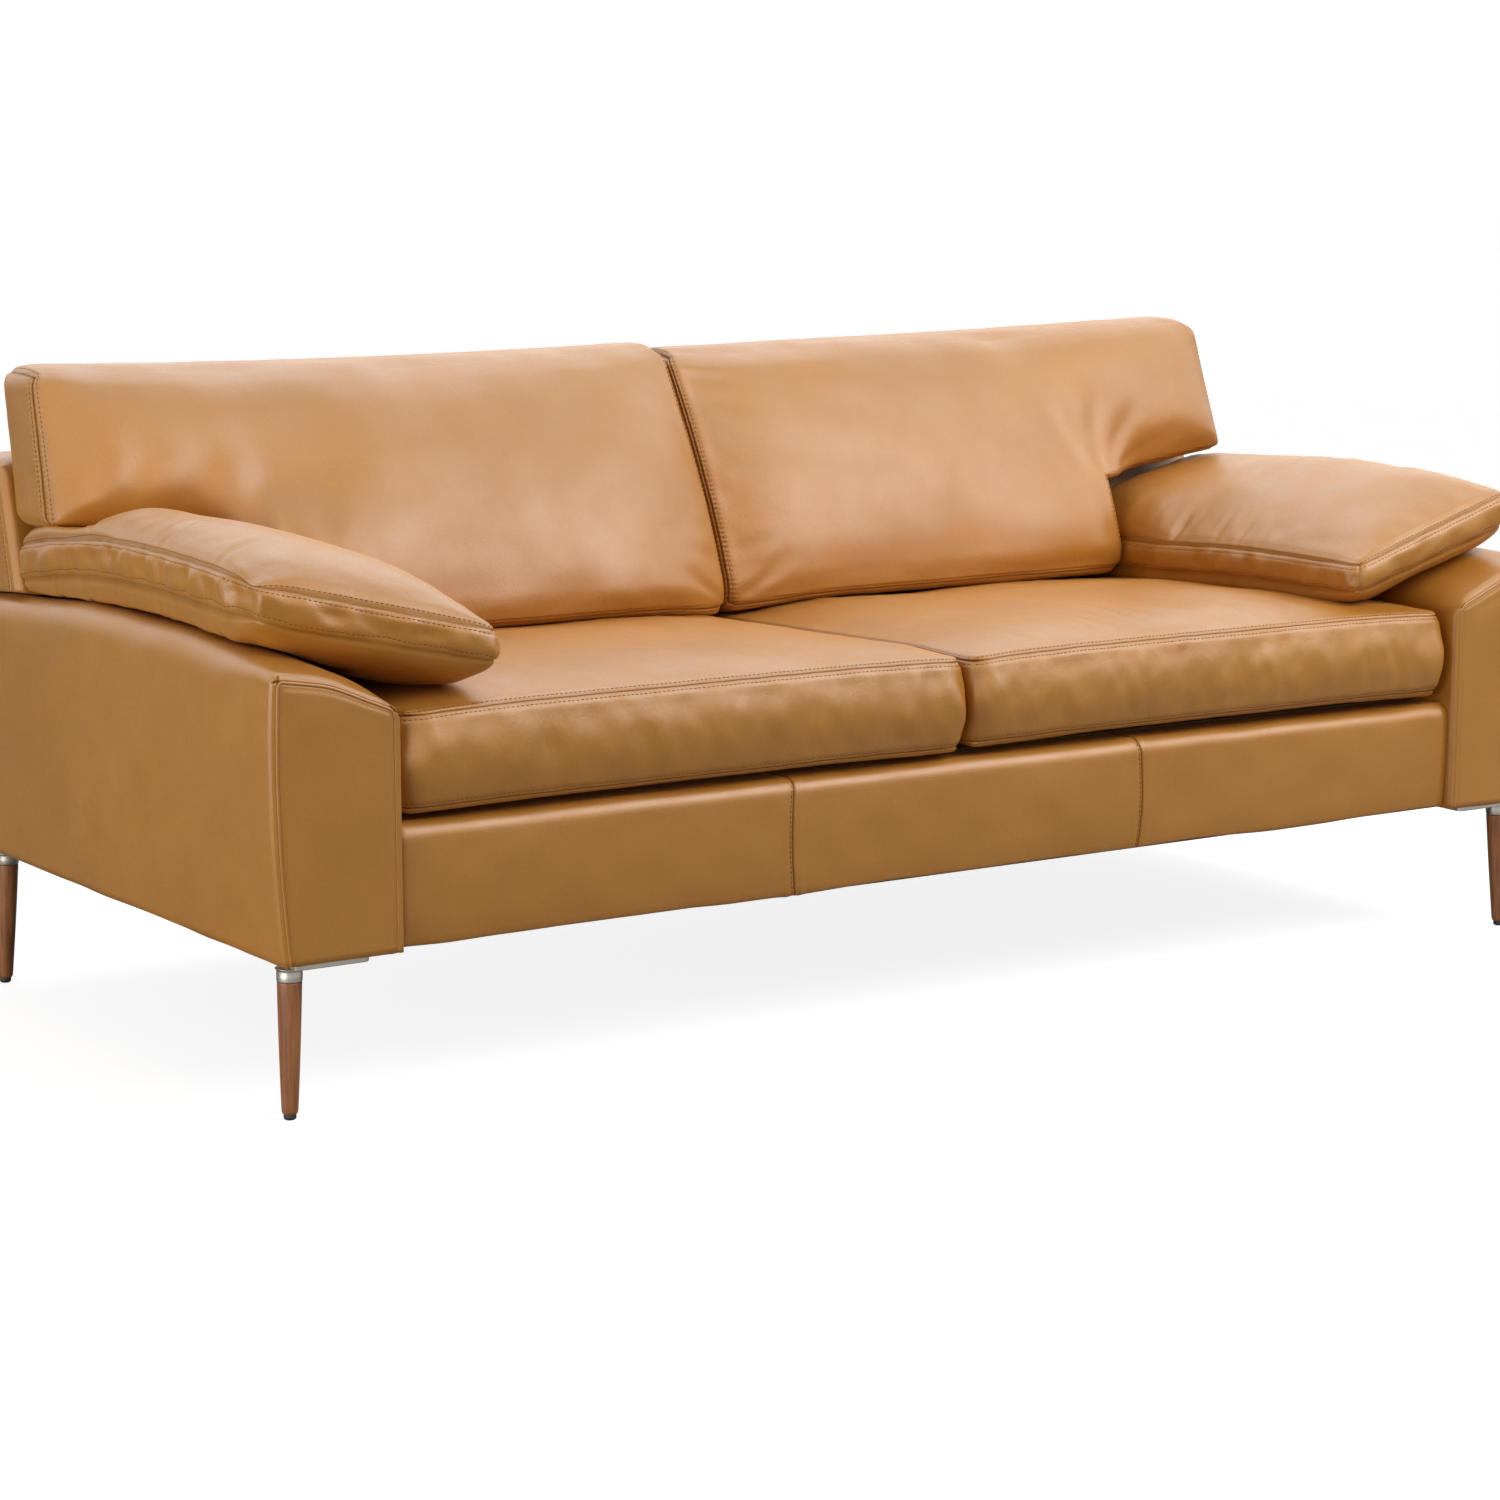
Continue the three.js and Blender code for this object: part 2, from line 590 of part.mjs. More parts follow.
// Outline of a back cushion in (x, z): a body between the arm cushions and an ear that reaches
// out over the arm.
function backOutline() {
  const { bottom, top, split, bodyX, earX, earZ, earRise } = BACK_CUSHION;
  const shape = new THREE.Shape();
  shape.moveTo(split + 14, bottom);
  shape.lineTo(bodyX - 16, bottom);
  shape.quadraticCurveTo(bodyX, bottom, bodyX, bottom + 16);
  shape.lineTo(bodyX, earZ - 12);
  shape.quadraticCurveTo(bodyX, earZ, bodyX + 12, earZ + 2);
  shape.lineTo(earX - 10, earZ + earRise);
  shape.quadraticCurveTo(earX, earZ + earRise + 2, earX, earZ + earRise + 14);
  shape.lineTo(earX - 8, top - 34);
  shape.quadraticCurveTo(earX - 8, top, earX - 44, top);
  shape.lineTo(split + 30, top - 6);
  shape.quadraticCurveTo(split, top - 6, split, top - 30);
  shape.lineTo(split, bottom + 14);
  shape.quadraticCurveTo(split, bottom, split + 14, bottom);
  return shape;
}

function backCushion() {
  const { bottom, top, split, earX } = BACK_CUSHION;
  const thick = BACK_FILL.bottom;
  const { edge, edgeIn } = BACK_FILL;
  const settings = { ...bevelled(edge, edgeIn), steps: 2, curveSegments: 3 };
  const blank = alongY(backOutline(), -thick + edge, -edge, settings);
  const middle = (split + earX) / 2;
  const reach = (earX - split) / 2;
  return reshape(blank, (p) => {
    const high = THREE.MathUtils.clamp((p.z - bottom) / (top - bottom), 0, 1);
    const side = THREE.MathUtils.smoothstep(Math.abs(p.x - middle), BACK_SIDES.start, reach);
    const fill = THREE.MathUtils.lerp(thick, BACK_FILL.top, high) * (1 - BACK_SIDES.thinning * side);
    p.y = backFront(p.z) - 4 + p.y * fill / thick;
  });
}

// ---- assembly -----------------------------------------------------------------------------------
for (const [side, place] of sides) {
  const addAll = (pieces, look) =>
    Object.entries(pieces).forEach(([name, piece]) => add(`${name}_${side}`, place(piece), look));
  const coverings = { arm_cover: armCover(), arm_facing: armFacing() };
  const cushions = { seat_cushion: seatCushion(), back_cushion: backCushion(), arm_cushion: armCushion() };
  addAll({ ...coverings, ...cushions }, 'leather');
  addAll({ ...armFrame(), ...cornerBlocks() }, 'frameWood');
}

add('front_rail_cover', frontRailCover(), 'leather');
add('back_cover', backCover(), 'leather');
add('back_outer_panel', backOuterPanel(), 'leather');

// A board that runs across the sofa, its front face at y.
function crossBoard(name, end, y, low, high) {
  add(name, board(-end, end, y, y + BOARD, low, high), 'frameWood');
}

const railEnd = RAIL.halfLength - 2;
const innerEnd = railEnd - WALL;
const { frontFoot, rearFoot, stretcherEnd, stretcherTop, backLow, backHigh } = FRAME_BOARDS;
crossBoard('front_rail', railEnd, FRONT_RAIL_Y, frontFoot, RAIL_TOP);
crossBoard('rear_rail', innerEnd, REAR_RAIL_Y, rearFoot, RAIL_TOP);
add('centre_stretcher', board(
  -BOARD / 2, BOARD / 2, FRONT_RAIL_Y + BOARD + GAP, stretcherEnd, frontFoot, stretcherTop,
), 'frameWood');
crossBoard('back_top_rail', innerEnd, REAR_RAIL_Y, backLow, backHigh);
add('back_post_right', backPost(innerEnd - BOARD), 'frameWood');
add('back_post_left', backPost(-innerEnd + BOARD), 'frameWood');
add('back_post_centre', backPost(0), 'frameWood');

for (let i = 0; i < SPRING.count; i += 1) {
  const x = (i + 0.5 - SPRING.count / 2) * (2 * RAIL.halfLength / SPRING.count);
  add(`seat_spring_${i + 1}`, seatSpring(x), 'steel');
}
add('seat_deck_pad', deckPad(), 'deckCloth');
add('dust_cover', dustCover(), 'dustCover');

for (const [corner, signX, signY] of [
  ['front_right', 1, -1], ['front_left', -1, -1], ['rear_right', 1, 1], ['rear_left', -1, 1],
]) {
  add(`leg_bracket_${corner}`, placed(bracket(), signX, signY), 'aluminium');
  add(`leg_${corner}`, placed(leg(), signX, signY), 'walnut');
  add(`glide_${corner}`, placed(glide(), signX, signY), 'blackPlastic');
  add(`hanger_bolt_${corner}`, placed(hangerBolt(), signX, signY), 'steel');
}

export default sofa;
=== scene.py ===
"""Leather sofa with six loose cushions and turned walnut legs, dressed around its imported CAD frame."""

import itertools
import math

import bpy
import numpy as np
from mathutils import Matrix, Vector


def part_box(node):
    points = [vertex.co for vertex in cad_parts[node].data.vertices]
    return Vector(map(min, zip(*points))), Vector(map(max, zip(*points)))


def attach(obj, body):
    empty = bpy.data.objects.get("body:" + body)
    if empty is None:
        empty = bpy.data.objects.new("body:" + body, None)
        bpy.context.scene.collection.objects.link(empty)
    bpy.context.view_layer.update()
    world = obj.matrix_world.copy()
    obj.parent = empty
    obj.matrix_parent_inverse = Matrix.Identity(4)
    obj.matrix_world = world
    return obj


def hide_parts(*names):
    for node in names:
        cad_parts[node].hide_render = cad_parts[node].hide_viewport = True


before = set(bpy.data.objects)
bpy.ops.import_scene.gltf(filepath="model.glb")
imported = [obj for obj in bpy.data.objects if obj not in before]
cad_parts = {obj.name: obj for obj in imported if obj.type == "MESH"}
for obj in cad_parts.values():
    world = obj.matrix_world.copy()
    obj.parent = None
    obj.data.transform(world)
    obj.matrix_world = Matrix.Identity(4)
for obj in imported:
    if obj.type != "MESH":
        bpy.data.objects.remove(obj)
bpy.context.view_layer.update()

MM = 0.001
HAIR = 1e-6  # Slack when a place is compared with a face of a block
FRAME_BODY = "sofa_frame"
HALF_WIDTH = 1.0
SIDES = {"right": 1, "left": -1}


# ---- small maths ---------------------------------------------------------------------------------
def smooth(value, low, high):
    """0 below low, 1 above high and an S-curve between them."""
    share = np.clip((value - low) / (high - low), 0, 1)
    return share * share * (3 - 2 * share)


def lerp(a, b, share):
    return a + (b - a) * share


def bell(value, width):
    return np.exp(-((value / width) ** 2))


def soft_min(a, b, width):
    """The lower of two heights, blended over a width, so that no crease is left."""
    return -width * np.logaddexp(-a / width, -b / width)


def soft_max(a, b, width):
    return -soft_min(-a, -b, width)


def ripple(points, length, seed, stretch=(1, 1, 1)):
    """Smooth noise of about unit height, made of a few plane waves of about the given length."""
    random = np.random.default_rng(seed)
    count = 14
    way = random.normal(size=(count, 3))
    way /= np.linalg.norm(way, axis=1)[:, None]
    pace = 2 * math.pi / length * random.uniform(0.65, 1.5, count)
    phase = random.uniform(0, 2 * math.pi, count)
    waves = np.cos((points / np.array(stretch)) @ (way * pace[:, None]).T + phase)
    return waves.sum(1) * math.sqrt(2 / count)


def round_edge(points, axes, corner, radius):
    """Rounds the edge of a block that runs square to two axes, by moving the space around it.
    corner gives the edge's two coordinates, and the sign of radius says which way is inwards."""
    a, b = axes
    ra, rb = radius
    at_a = np.clip((points[:, a] - (corner[0] - ra)) / ra, 0, 1)
    at_b = np.clip((points[:, b] - (corner[1] - rb)) / rb, 0, 1)
    inside = (at_a > 0) & (at_b > 0)
    moved = points.copy()
    moved[inside, a] = (corner[0] - ra + ra * at_a * np.sqrt(1 - at_b**2 / 2))[inside]
    moved[inside, b] = (corner[1] - rb + rb * at_b * np.sqrt(1 - at_a**2 / 2))[inside]
    return moved


# ---- skins: closed quad meshes over a lattice of blocks --------------------------------------------
SEAM_ROWS = np.array([1.2, 2.4, 3.8, 5.5, 7.5, 10.5, 15, 21]) * MM
ROW_GAP = 0.7 * MM  # Least distance between two lattice lines


def rows(low, high, step, seams=(), marks=()):
    """Places of lattice lines between low and high: dense beside each seam, through each mark and
    step apart elsewhere."""
    kept = {low, high, *marks, *seams}
    near = [seam + side * row for seam in seams for side in (-1, 1) for row in SEAM_ROWS]
    for value in near:
        if low < value < high and min(abs(value - other) for other in kept) > ROW_GAP:
            kept.add(value)
    kept = sorted(kept)
    line = []
    for a, b in zip(kept, kept[1:]):
        count = max(1, math.ceil((b - a) / step - 0.01))
        line.extend(a + (b - a) * i / count for i in range(count))
    return np.array(line + [high])


def block_skin(filled):
    """Lattice corners and outward quads of the skin of the filled cells."""
    cells_in = np.pad(filled, 1)
    quads = []
    for axis, side in itertools.product(range(3), (0, 1)):
        open_side = cells_in & ~np.roll(cells_in, -1 if side else 1, axis)
        cells = np.argwhere(open_side) - 1
        around = []
        for db, dc in ((0, 0), (1, 0), (1, 1), (0, 1)):
            corner = cells.copy()
            corner[:, axis] += side
            corner[:, (axis + 1) % 3] += db
            corner[:, (axis + 2) % 3] += dc
            around.append(corner)
        quads.append(np.stack(around if side else around[::-1], 1))
    quads = np.concatenate(quads)
    corners, index = np.unique(quads.reshape(-1, 3), axis=0, return_inverse=True)
    return corners, index.reshape(-1, 4)


class Skin:
    """Closed quad skin of a block lattice. flat is each point's place in the undeformed block."""

    def __init__(self, lines, empty=()):
        self.lines = lines
        middle = np.meshgrid(*[(line[1:] + line[:-1]) / 2 for line in lines], indexing="ij")
        filled = np.ones(middle[0].shape, bool)
        for low, high in empty:
            filled &= ~np.all([(m > a) & (m < b) for m, a, b in zip(middle, low, high)], axis=0)
        self.corner, self.quads = block_skin(filled)
        self.flat = np.stack([line[self.corner[:, axis]] for axis, line in enumerate(lines)], 1)
        pairs = np.concatenate([self.quads[:, [i, (i + 1) % 4]] for i in range(4)])
        self.edges = np.unique(np.sort(pairs, axis=1), axis=0)
        self.valence = np.bincount(self.edges.ravel(), minlength=len(self.flat))

    def average(self, values):
        """Mean of each point's neighbours."""
        a, b = self.edges.T
        total = np.empty_like(values)
        size = len(values)
        for k in range(values.shape[1]):
            total[:, k] = np.bincount(a, values[b, k], size) + np.bincount(b, values[a, k], size)
        return total / self.valence[:, None]

    def smoothed(self, values, passes):
        for _ in range(passes):
            values = 0.5 * values + 0.5 * self.average(values)
        return values

    def normals(self, points):
        p = points[self.quads]
        face = np.cross(p[:, 2] - p[:, 0], p[:, 3] - p[:, 1])
        total = np.empty_like(points)
        for k in range(3):
            total[:, k] = sum(np.bincount(self.quads[:, i], face[:, k], len(points)) for i in range(4))
        return total / np.maximum(np.linalg.norm(total, axis=1), 1e-12)[:, None]

    def sample(self, values, places):
        """Values at places of the flat block, read between the lattice's own points."""
        grid = np.zeros([len(line) for line in self.lines] + [values.shape[1]])
        grid[tuple(self.corner.T)] = values
        low, share = [], []
        for axis, line in enumerate(self.lines):
            at = np.interp(places[:, axis], line, np.arange(len(line)))
            low.append(np.minimum(at.astype(int), len(line) - 2))
            share.append(at - low[-1])
        total = 0
        for step in itertools.product((0, 1), repeat=3):
            weight = np.prod([share[i] if step[i] else 1 - share[i] for i in range(3)], axis=0)
            total = total + weight[:, None] * grid[tuple(low[i] + step[i] for i in range(3))]
        return total


# ---- pieces --------------------------------------------------------------------------------------
def new_object(name, points, faces, smooth_sizes=(3, 4)):
    """A mesh object, smooth on the faces that have one of the given numbers of corners."""
    faces = faces.tolist() if isinstance(faces, np.ndarray) else faces
    mesh = bpy.data.meshes.new(name)
    mesh.from_pydata(np.asarray(points).tolist(), [], faces)
    mesh.polygons.foreach_set("use_smooth", [face.loop_total in smooth_sizes for face in mesh.polygons])
    obj = bpy.data.objects.new(name, mesh)
    bpy.context.scene.collection.objects.link(obj)
    return obj


def piece(name, points, faces, side, body, look, replaces=(), smooth_sizes=(3, 4), **attributes):
    """A piece made for the right-hand half, mirrored where side is -1, riding on a body."""
    points = np.array(points)
    if side < 0:
        points[:, 0] *= -1
        faces = faces[:, ::-1] if isinstance(faces, np.ndarray) else [face[::-1] for face in faces]
    obj = new_object(name, points, faces, smooth_sizes)
    for label, values in attributes.items():
        layer = obj.data.attributes.new(label, "FLOAT", "POINT")
        layer.data.foreach_set("value", np.asarray(values, np.float32))
    obj.data.materials.append(LOOKS[look]["material"])
    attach(obj, body)
    if replaces:
        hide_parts(*replaces)
    return obj


def hide(name, skin, points, dip, slack, side, node):
    """A leather piece of the fixed frame, with painted shade where its seams dip."""
    # Painted shade along the seams, deepest at the bottom of each valley.
    crease = np.clip(-dip / (2 * MM), 0, 1)
    piece(name, points, skin.quads, side, FRAME_BODY, "leather", [node],
          crease=crease, slack=np.full(len(points), slack))


# ---- cloth ---------------------------------------------------------------------------------------
CLOTH_FRAMES = 20
CLOTH_STEP = 14 * MM
CLOTH_SHAKE = 0.4 * MM  # Roughens the cover, so that it buckles unevenly
CLOTH_SETTINGS = {
    "quality": 5, "mass": 0.25, "tension_stiffness": 18, "compression_stiffness": 18, "shear_stiffness": 6,
    "bending_stiffness": 1.2, "air_damping": 3, "use_pressure": True, "vertex_group_mass": "held",
    "pin_stiffness": 0.6, "vertex_group_shrink": "slack", "shrink_max": -0.035,
}


def stuffed(points, quads, held, slack, pressure, cap):
    """How far each point of a sewn cover moves when it is stuffed: Blender's cloth under pressure.
    held is 1 where seams hold the cover back, slack 1 where the leather has length to spare."""
    shaken = points + CLOTH_SHAKE * np.random.default_rng(5).normal(size=points.shape)
    cover = new_object("cover_in_work", shaken, quads)
    for label, weights in (("held", held), ("slack", slack)):
        group = cover.vertex_groups.new(name=label)
        for level in np.unique(np.round(weights, 1)):
            chosen = np.flatnonzero(np.round(weights, 1) == level)
            group.add(chosen.tolist(), float(level), "REPLACE")
    cloth = cover.modifiers.new("cloth", "CLOTH")
    for key, value in CLOTH_SETTINGS.items():
        setattr(cloth.settings, key, value)
    cloth.settings.uniform_pressure_force = pressure
    cloth.settings.effector_weights.gravity = 0
    cloth.collision_settings.use_collision = False
    cloth.point_cache.frame_end = CLOTH_FRAMES
    scene = bpy.context.scene
    for step in range(1, CLOTH_FRAMES + 1):
        scene.frame_set(step)
    settled = cover.evaluated_get(bpy.context.evaluated_depsgraph_get())
    found = np.empty(len(points) * 3)
    settled.data.vertices.foreach_get("co", found)
    move = found.reshape(-1, 3) - points
    far = np.linalg.norm(move, axis=1)[:, None]
    move *= cap * np.tanh(far / cap) / np.maximum(far, 1e-9)
    bpy.data.objects.remove(cover)
    scene.frame_set(1)
    return move


# ---- seams and stitches --------------------------------------------------------------------------
STITCH = {"pitch": 6.4 * MM, "length": 4.9 * MM, "thick": 0.62 * MM, "row": 5.5 * MM}


def seam_dip(gap, depth=2.3 * MM):
    """Height of the leather beside a seam: a tight valley with a padded shoulder and a stitch line."""
    valley = -depth * bell(gap, 1.5 * MM)
    shoulder = 0.5 * depth * bell(gap - 9 * MM, 6 * MM)
    channel = -0.3 * depth * bell(gap - STITCH["row"], 1.3 * MM)
    return valley + shoulder + channel


def stitch_mesh(paths):
    """Short raised threads along paths of (points, normals), as one mesh of many small bodies."""
    points, faces = [], []
    section = [(0, 1.0), (0.9, 0), (0, -1.0), (-0.9, 0)]  # Across and up
    stations = [(-0.36, 0.6, 0.3), (0, 1.0, 0.75), (0.36, 0.6, 0.3)]  # Along, thickness and lift
    for line, normals in paths:
        run = np.concatenate([[0], np.cumsum(np.linalg.norm(np.diff(line, axis=0), axis=1))])
        count = int(run[-1] / STITCH["pitch"])
        for i in range(count):
            middle = (i + 0.5) * STITCH["pitch"]
            ends = [np.array([np.interp(middle + s * STITCH["length"], run, line[:, k]) for k in range(3)])
                    for s in (-0.5, 0.5)]
            up = np.array([np.interp(middle, run, normals[:, k]) for k in range(3)])
            along = ends[1] - ends[0]
            length = np.linalg.norm(along)
            if length < 0.5 * STITCH["length"]:
                continue
            side = np.cross(up, along / length)
            centre = (ends[0] + ends[1]) / 2
            first = len(points)
            for share, width, lift in stations:
                base = centre + along * share + up * STITCH["thick"] * lift
                points.extend(base + STITCH["thick"] * width * (side * a + up * b) for a, b in section)
            points.extend(ends[k] - up * 0.3 * STITCH["thick"] for k in (0, 1))
            for station, k in itertools.product((0, 1), range(4)):
                a = first + 4 * station
                b = a + (k + 1) % 4
                faces.append((a + k, b, b + 4, a + k + 4))
            faces.extend((first + (k + 1) % 4, first + k, first + 12) for k in range(4))
            faces.extend((first + 8 + k, first + 8 + (k + 1) % 4, first + 13) for k in range(4))
    return points, faces


def stitching(name, skin, points, routes, side, body):
    """Stitch rows along routes drawn in the flat block, laid on the finished skin."""
    normals = skin.normals(points)
    paths = []
    for route in routes:
        route = np.array(route, float)
        places = []
        for a, b in zip(route, route[1:]):
            count = max(2, int(np.linalg.norm(b - a) / (2 * MM)))
            places.extend(lerp(a, b, i / count) for i in range(count))
        places = np.array(places + [route[-1]])
        paths.append((skin.sample(points, places), skin.sample(normals, places)))
    piece(name, *stitch_mesh(paths), side, body, "thread")


def ring(low, high, level):
    """A closed route around a rectangle of the flat block at one height."""
    (x0, y0), (x1, y1) = low, high
    return [(x0, y0, level), (x1, y0, level), (x1, y1, level), (x0, y1, level), (x0, y0, level)]


# ---- materials -----------------------------------------------------------------------------------
class Nodes:
    """A node tree, with short ways to add and wire nodes."""

    def __init__(self, tree):
        self.tree = tree

    def wire(self, node, inputs):
        for key, value in inputs.items():
            if isinstance(value, bpy.types.NodeSocket):
                self.tree.links.new(value, node.inputs[key])
            else:
                node.inputs[key].default_value = value

    def add(self, kind, inputs=None, **settings):
        node = self.tree.nodes.new(kind)
        for key, value in settings.items():
            setattr(node, key, value)
        self.wire(node, inputs or {})
        return node

    def fit(self, value, low, high, to_low=0.0, to_high=1.0):
        return self.add("ShaderNodeMapRange", {
            "Value": value, "From Min": low, "From Max": high, "To Min": to_low, "To Max": to_high,
        }).outputs["Result"]

    def math(self, operation, a, b=0.0):
        return self.add("ShaderNodeMath", {0: a, 1: b}, operation=operation).outputs[0]


class Graph(Nodes):
    """A material's node tree around one Principled shader."""

    def __init__(self, name, **sockets):
        self.material = bpy.data.materials.new(name)
        self.material.use_nodes = True
        super().__init__(self.material.node_tree)
        self.shader = self.tree.nodes["Principled BSDF"]
        self.place = self.add("ShaderNodeTexCoord").outputs["Object"]
        self.wire(self.shader, {key.replace("_", " "): value for key, value in sockets.items()})

    def stretched(self, scale):
        return self.add("ShaderNodeMapping", {"Vector": self.place, "Scale": scale}).outputs["Vector"]

    def noise(self, scale, detail=3, rough=0.5, vector=None, warp=0):
        return self.add("ShaderNodeTexNoise", {
            "Vector": vector or self.place, "Scale": scale, "Detail": detail,
            "Roughness": rough, "Distortion": warp}).outputs["Fac"]

    def cells(self, scale, vector=None):
        inputs = {"Vector": vector or self.place, "Scale": scale}
        return self.add("ShaderNodeTexVoronoi", inputs).outputs["Distance"]

    def waves(self, scale, warp, direction):
        return self.add("ShaderNodeTexWave", {"Vector": self.place, "Scale": scale, "Distortion": warp},
                        bands_direction=direction).outputs["Fac"]

    def mix(self, share, a, b):
        return self.add("ShaderNodeMix", {0: share, 6: a, 7: b}, data_type="RGBA").outputs[2]

    def read(self, attribute):
        return self.add("ShaderNodeAttribute", attribute_name=attribute).outputs["Fac"]

    def bump(self, height, distance, strength=1.0, under=None):
        inputs = {"Height": height, "Distance": distance, "Strength": strength}
        if under:
            inputs["Normal"] = under
        return self.add("ShaderNodeBump", inputs).outputs["Normal"]


def colour(red, green, blue):
    """A linear colour from sRGB bytes."""
    return tuple(((byte / 255 + 0.055) / 1.055) ** 2.4 for byte in (red, green, blue)) + (1,)


def darker(tone, share):
    return tuple(share * part for part in tone[:3]) + (1,)


def leather():
    """Semi-aniline hide: fine pebble grain, soft pull-up clouds, and painted shade in the seam valleys, which
    are also less shiny.
    """
    g = Graph("cognac_leather", Sheen_Weight=0.05, Sheen_Roughness=0.4, Sheen_Tint=colour(255, 222, 190),
              Coat_Roughness=0.32)
    clouds = g.noise(5.5, 4, 0.55, warp=0.4)
    mottle = g.noise(38, 4, 0.6)
    base = g.mix(g.fit(clouds, 0.3, 0.7), colour(173, 114, 36), colour(182, 122, 42))
    base = g.mix(g.fit(mottle, 0.35, 0.7, 0, 0.07), base, colour(158, 99, 32))
    grain = g.cells(430)
    base = g.mix(g.fit(grain, 0.45, 0.9, 0, 0.12), base, colour(130, 78, 24))
    # Painted shade: the seam valleys are darkened towards deep brown and lose their shine.
    crease = g.read("crease")
    base = g.mix(g.fit(crease, 0.1, 1.0, 0, 0.8), base, colour(78, 42, 12))
    slack = g.read("slack")
    folds = g.noise(30, 3, 0.55, g.stretched((1, 1, 0.6)), warp=0.6)
    soft = g.bump(folds, 2.2 * MM, g.fit(slack, 0, 1, 0.12, 0.6))
    creases = g.noise(95, 4, 0.6, warp=1.2)
    soft = g.bump(creases, 0.5 * MM, g.fit(slack, 0, 1, 0.15, 0.45), under=soft)
    pebble = g.math("SUBTRACT", g.noise(1100, 2), g.math("MULTIPLY", grain, 1.3))
    soft = g.bump(pebble, 0.12 * MM, 0.6, under=soft)
    pucker = g.waves(1 / STITCH["pitch"] / 3.2, 0.8, "Z")
    soft = g.bump(pucker, 0.8 * MM, g.fit(g.read("pucker"), 0, 1, 0, 0.8), under=soft)
    rough = g.fit(g.noise(16, 3), 0.3, 0.7, 0.36, 0.45)
    rough = g.math("ADD", rough, g.fit(grain, 0.3, 0.9, 0, 0.08))
    g.wire(g.shader, {"Base Color": base, "Roughness": rough, "Normal": soft,
                      "Specular IOR Level": g.fit(crease, 0, 0.8, 0.58, 0.06),
                      "Coat Weight": g.fit(crease, 0, 1, 0.12, 0)})
    return g.material


def thread():
    """Waxed polyester thread: fine twist."""
    g = Graph("tan_thread", Specular_IOR_Level=0.25)
    twist = g.waves(900.0, 2.0, "DIAGONAL")
    g.wire(g.shader, {
        "Base Color": g.mix(twist, colour(94, 56, 24), colour(142, 92, 44)),
        "Roughness": g.fit(twist, 0, 1, 0.55, 0.7),
        "Normal": g.bump(twist, 0.1 * MM, 0.5)})
    return g.material


def timber(name, dark, light, across, rough, coat):
    """Wood with its grain along Z: streaks, growth bands and open pores."""
    g = Graph(name, Coat_Weight=coat, Coat_Roughness=0.25, Specular_IOR_Level=0.4)
    streaks = g.noise(across, 6, 0.6, g.stretched((1, 1, 0.035)), warp=0.6)
    bands = g.noise(across * 0.22, 3, 0.5, g.stretched((1, 1, 0.09)), warp=1.5)
    pores = g.cells(across * 3.2, g.stretched((1, 1, 0.03)))
    shade = g.math("ADD", g.math("MULTIPLY", streaks, 0.55), g.math("MULTIPLY", bands, 0.45))
    base = g.mix(g.fit(shade, 0.36, 0.64), dark, light)
    base = g.mix(g.fit(pores, 0.02, 0.2, 0.45, 0), base, darker(dark, 0.4))
    g.wire(g.shader, {
        "Base Color": base, "Roughness": g.fit(streaks, 0.3, 0.7, rough - 0.06, rough + 0.08),
        "Normal": g.bump(g.math("ADD", streaks, g.fit(pores, 0, 0.2, -0.6, 0)), 0.12 * MM, 0.6)})
    return g.material


def cast_metal(name, light, rough, grit):
    """Cast and tumbled metal, or bright drawn steel: fine grit and faint handling smears."""
    g = Graph(name, Metallic=1.0)
    fine = g.noise(grit, 3, 0.6)
    smear = g.noise(30, 4, 0.6)
    uneven = g.fit(smear, 0.3, 0.7, rough - 0.05, rough + 0.08)
    g.wire(g.shader, {
        "Base Color": g.mix(g.fit(smear, 0.35, 0.7, 0, 0.35), light, darker(light, 0.8)),
        "Roughness": g.math("ADD", uneven, g.fit(fine, 0.3, 0.7, 0, 0.06)),
        "Normal": g.bump(fine, 0.05 * MM, 0.4)})
    return g.material


def moulded_plastic():
    g = Graph("black_nylon", Specular_IOR_Level=0.45)
    spark = g.cells(1900)
    scuff = g.noise(120, 4)
    g.wire(g.shader, {
        "Base Color": g.mix(g.fit(scuff, 0.45, 0.75), (0.011, 0.011, 0.012, 1), (0.03, 0.03, 0.031, 1)),
        "Roughness": g.fit(scuff, 0.3, 0.7, 0.42, 0.6), "Normal": g.bump(spark, 0.04 * MM, 0.5)})
    return g.material


def cloth(name, dark, light, pitch):
    """Plain weave: two crossed sets of yarns with slubs."""
    g = Graph(name, Sheen_Weight=0.25, Sheen_Roughness=0.5, Specular_IOR_Level=0.25)
    weave = g.math("MAXIMUM", g.waves(pitch, 0.6, "X"), g.waves(pitch, 0.6, "Y"))
    slub = g.noise(220, 4, 0.65)
    g.wire(g.shader, {
        "Base Color": g.mix(g.math("MULTIPLY", weave, slub), dark, light),
        "Roughness": g.fit(slub, 0.3, 0.7, 0.8, 0.95), "Normal": g.bump(weave, 0.25 * MM, 0.7)})
    return g.material


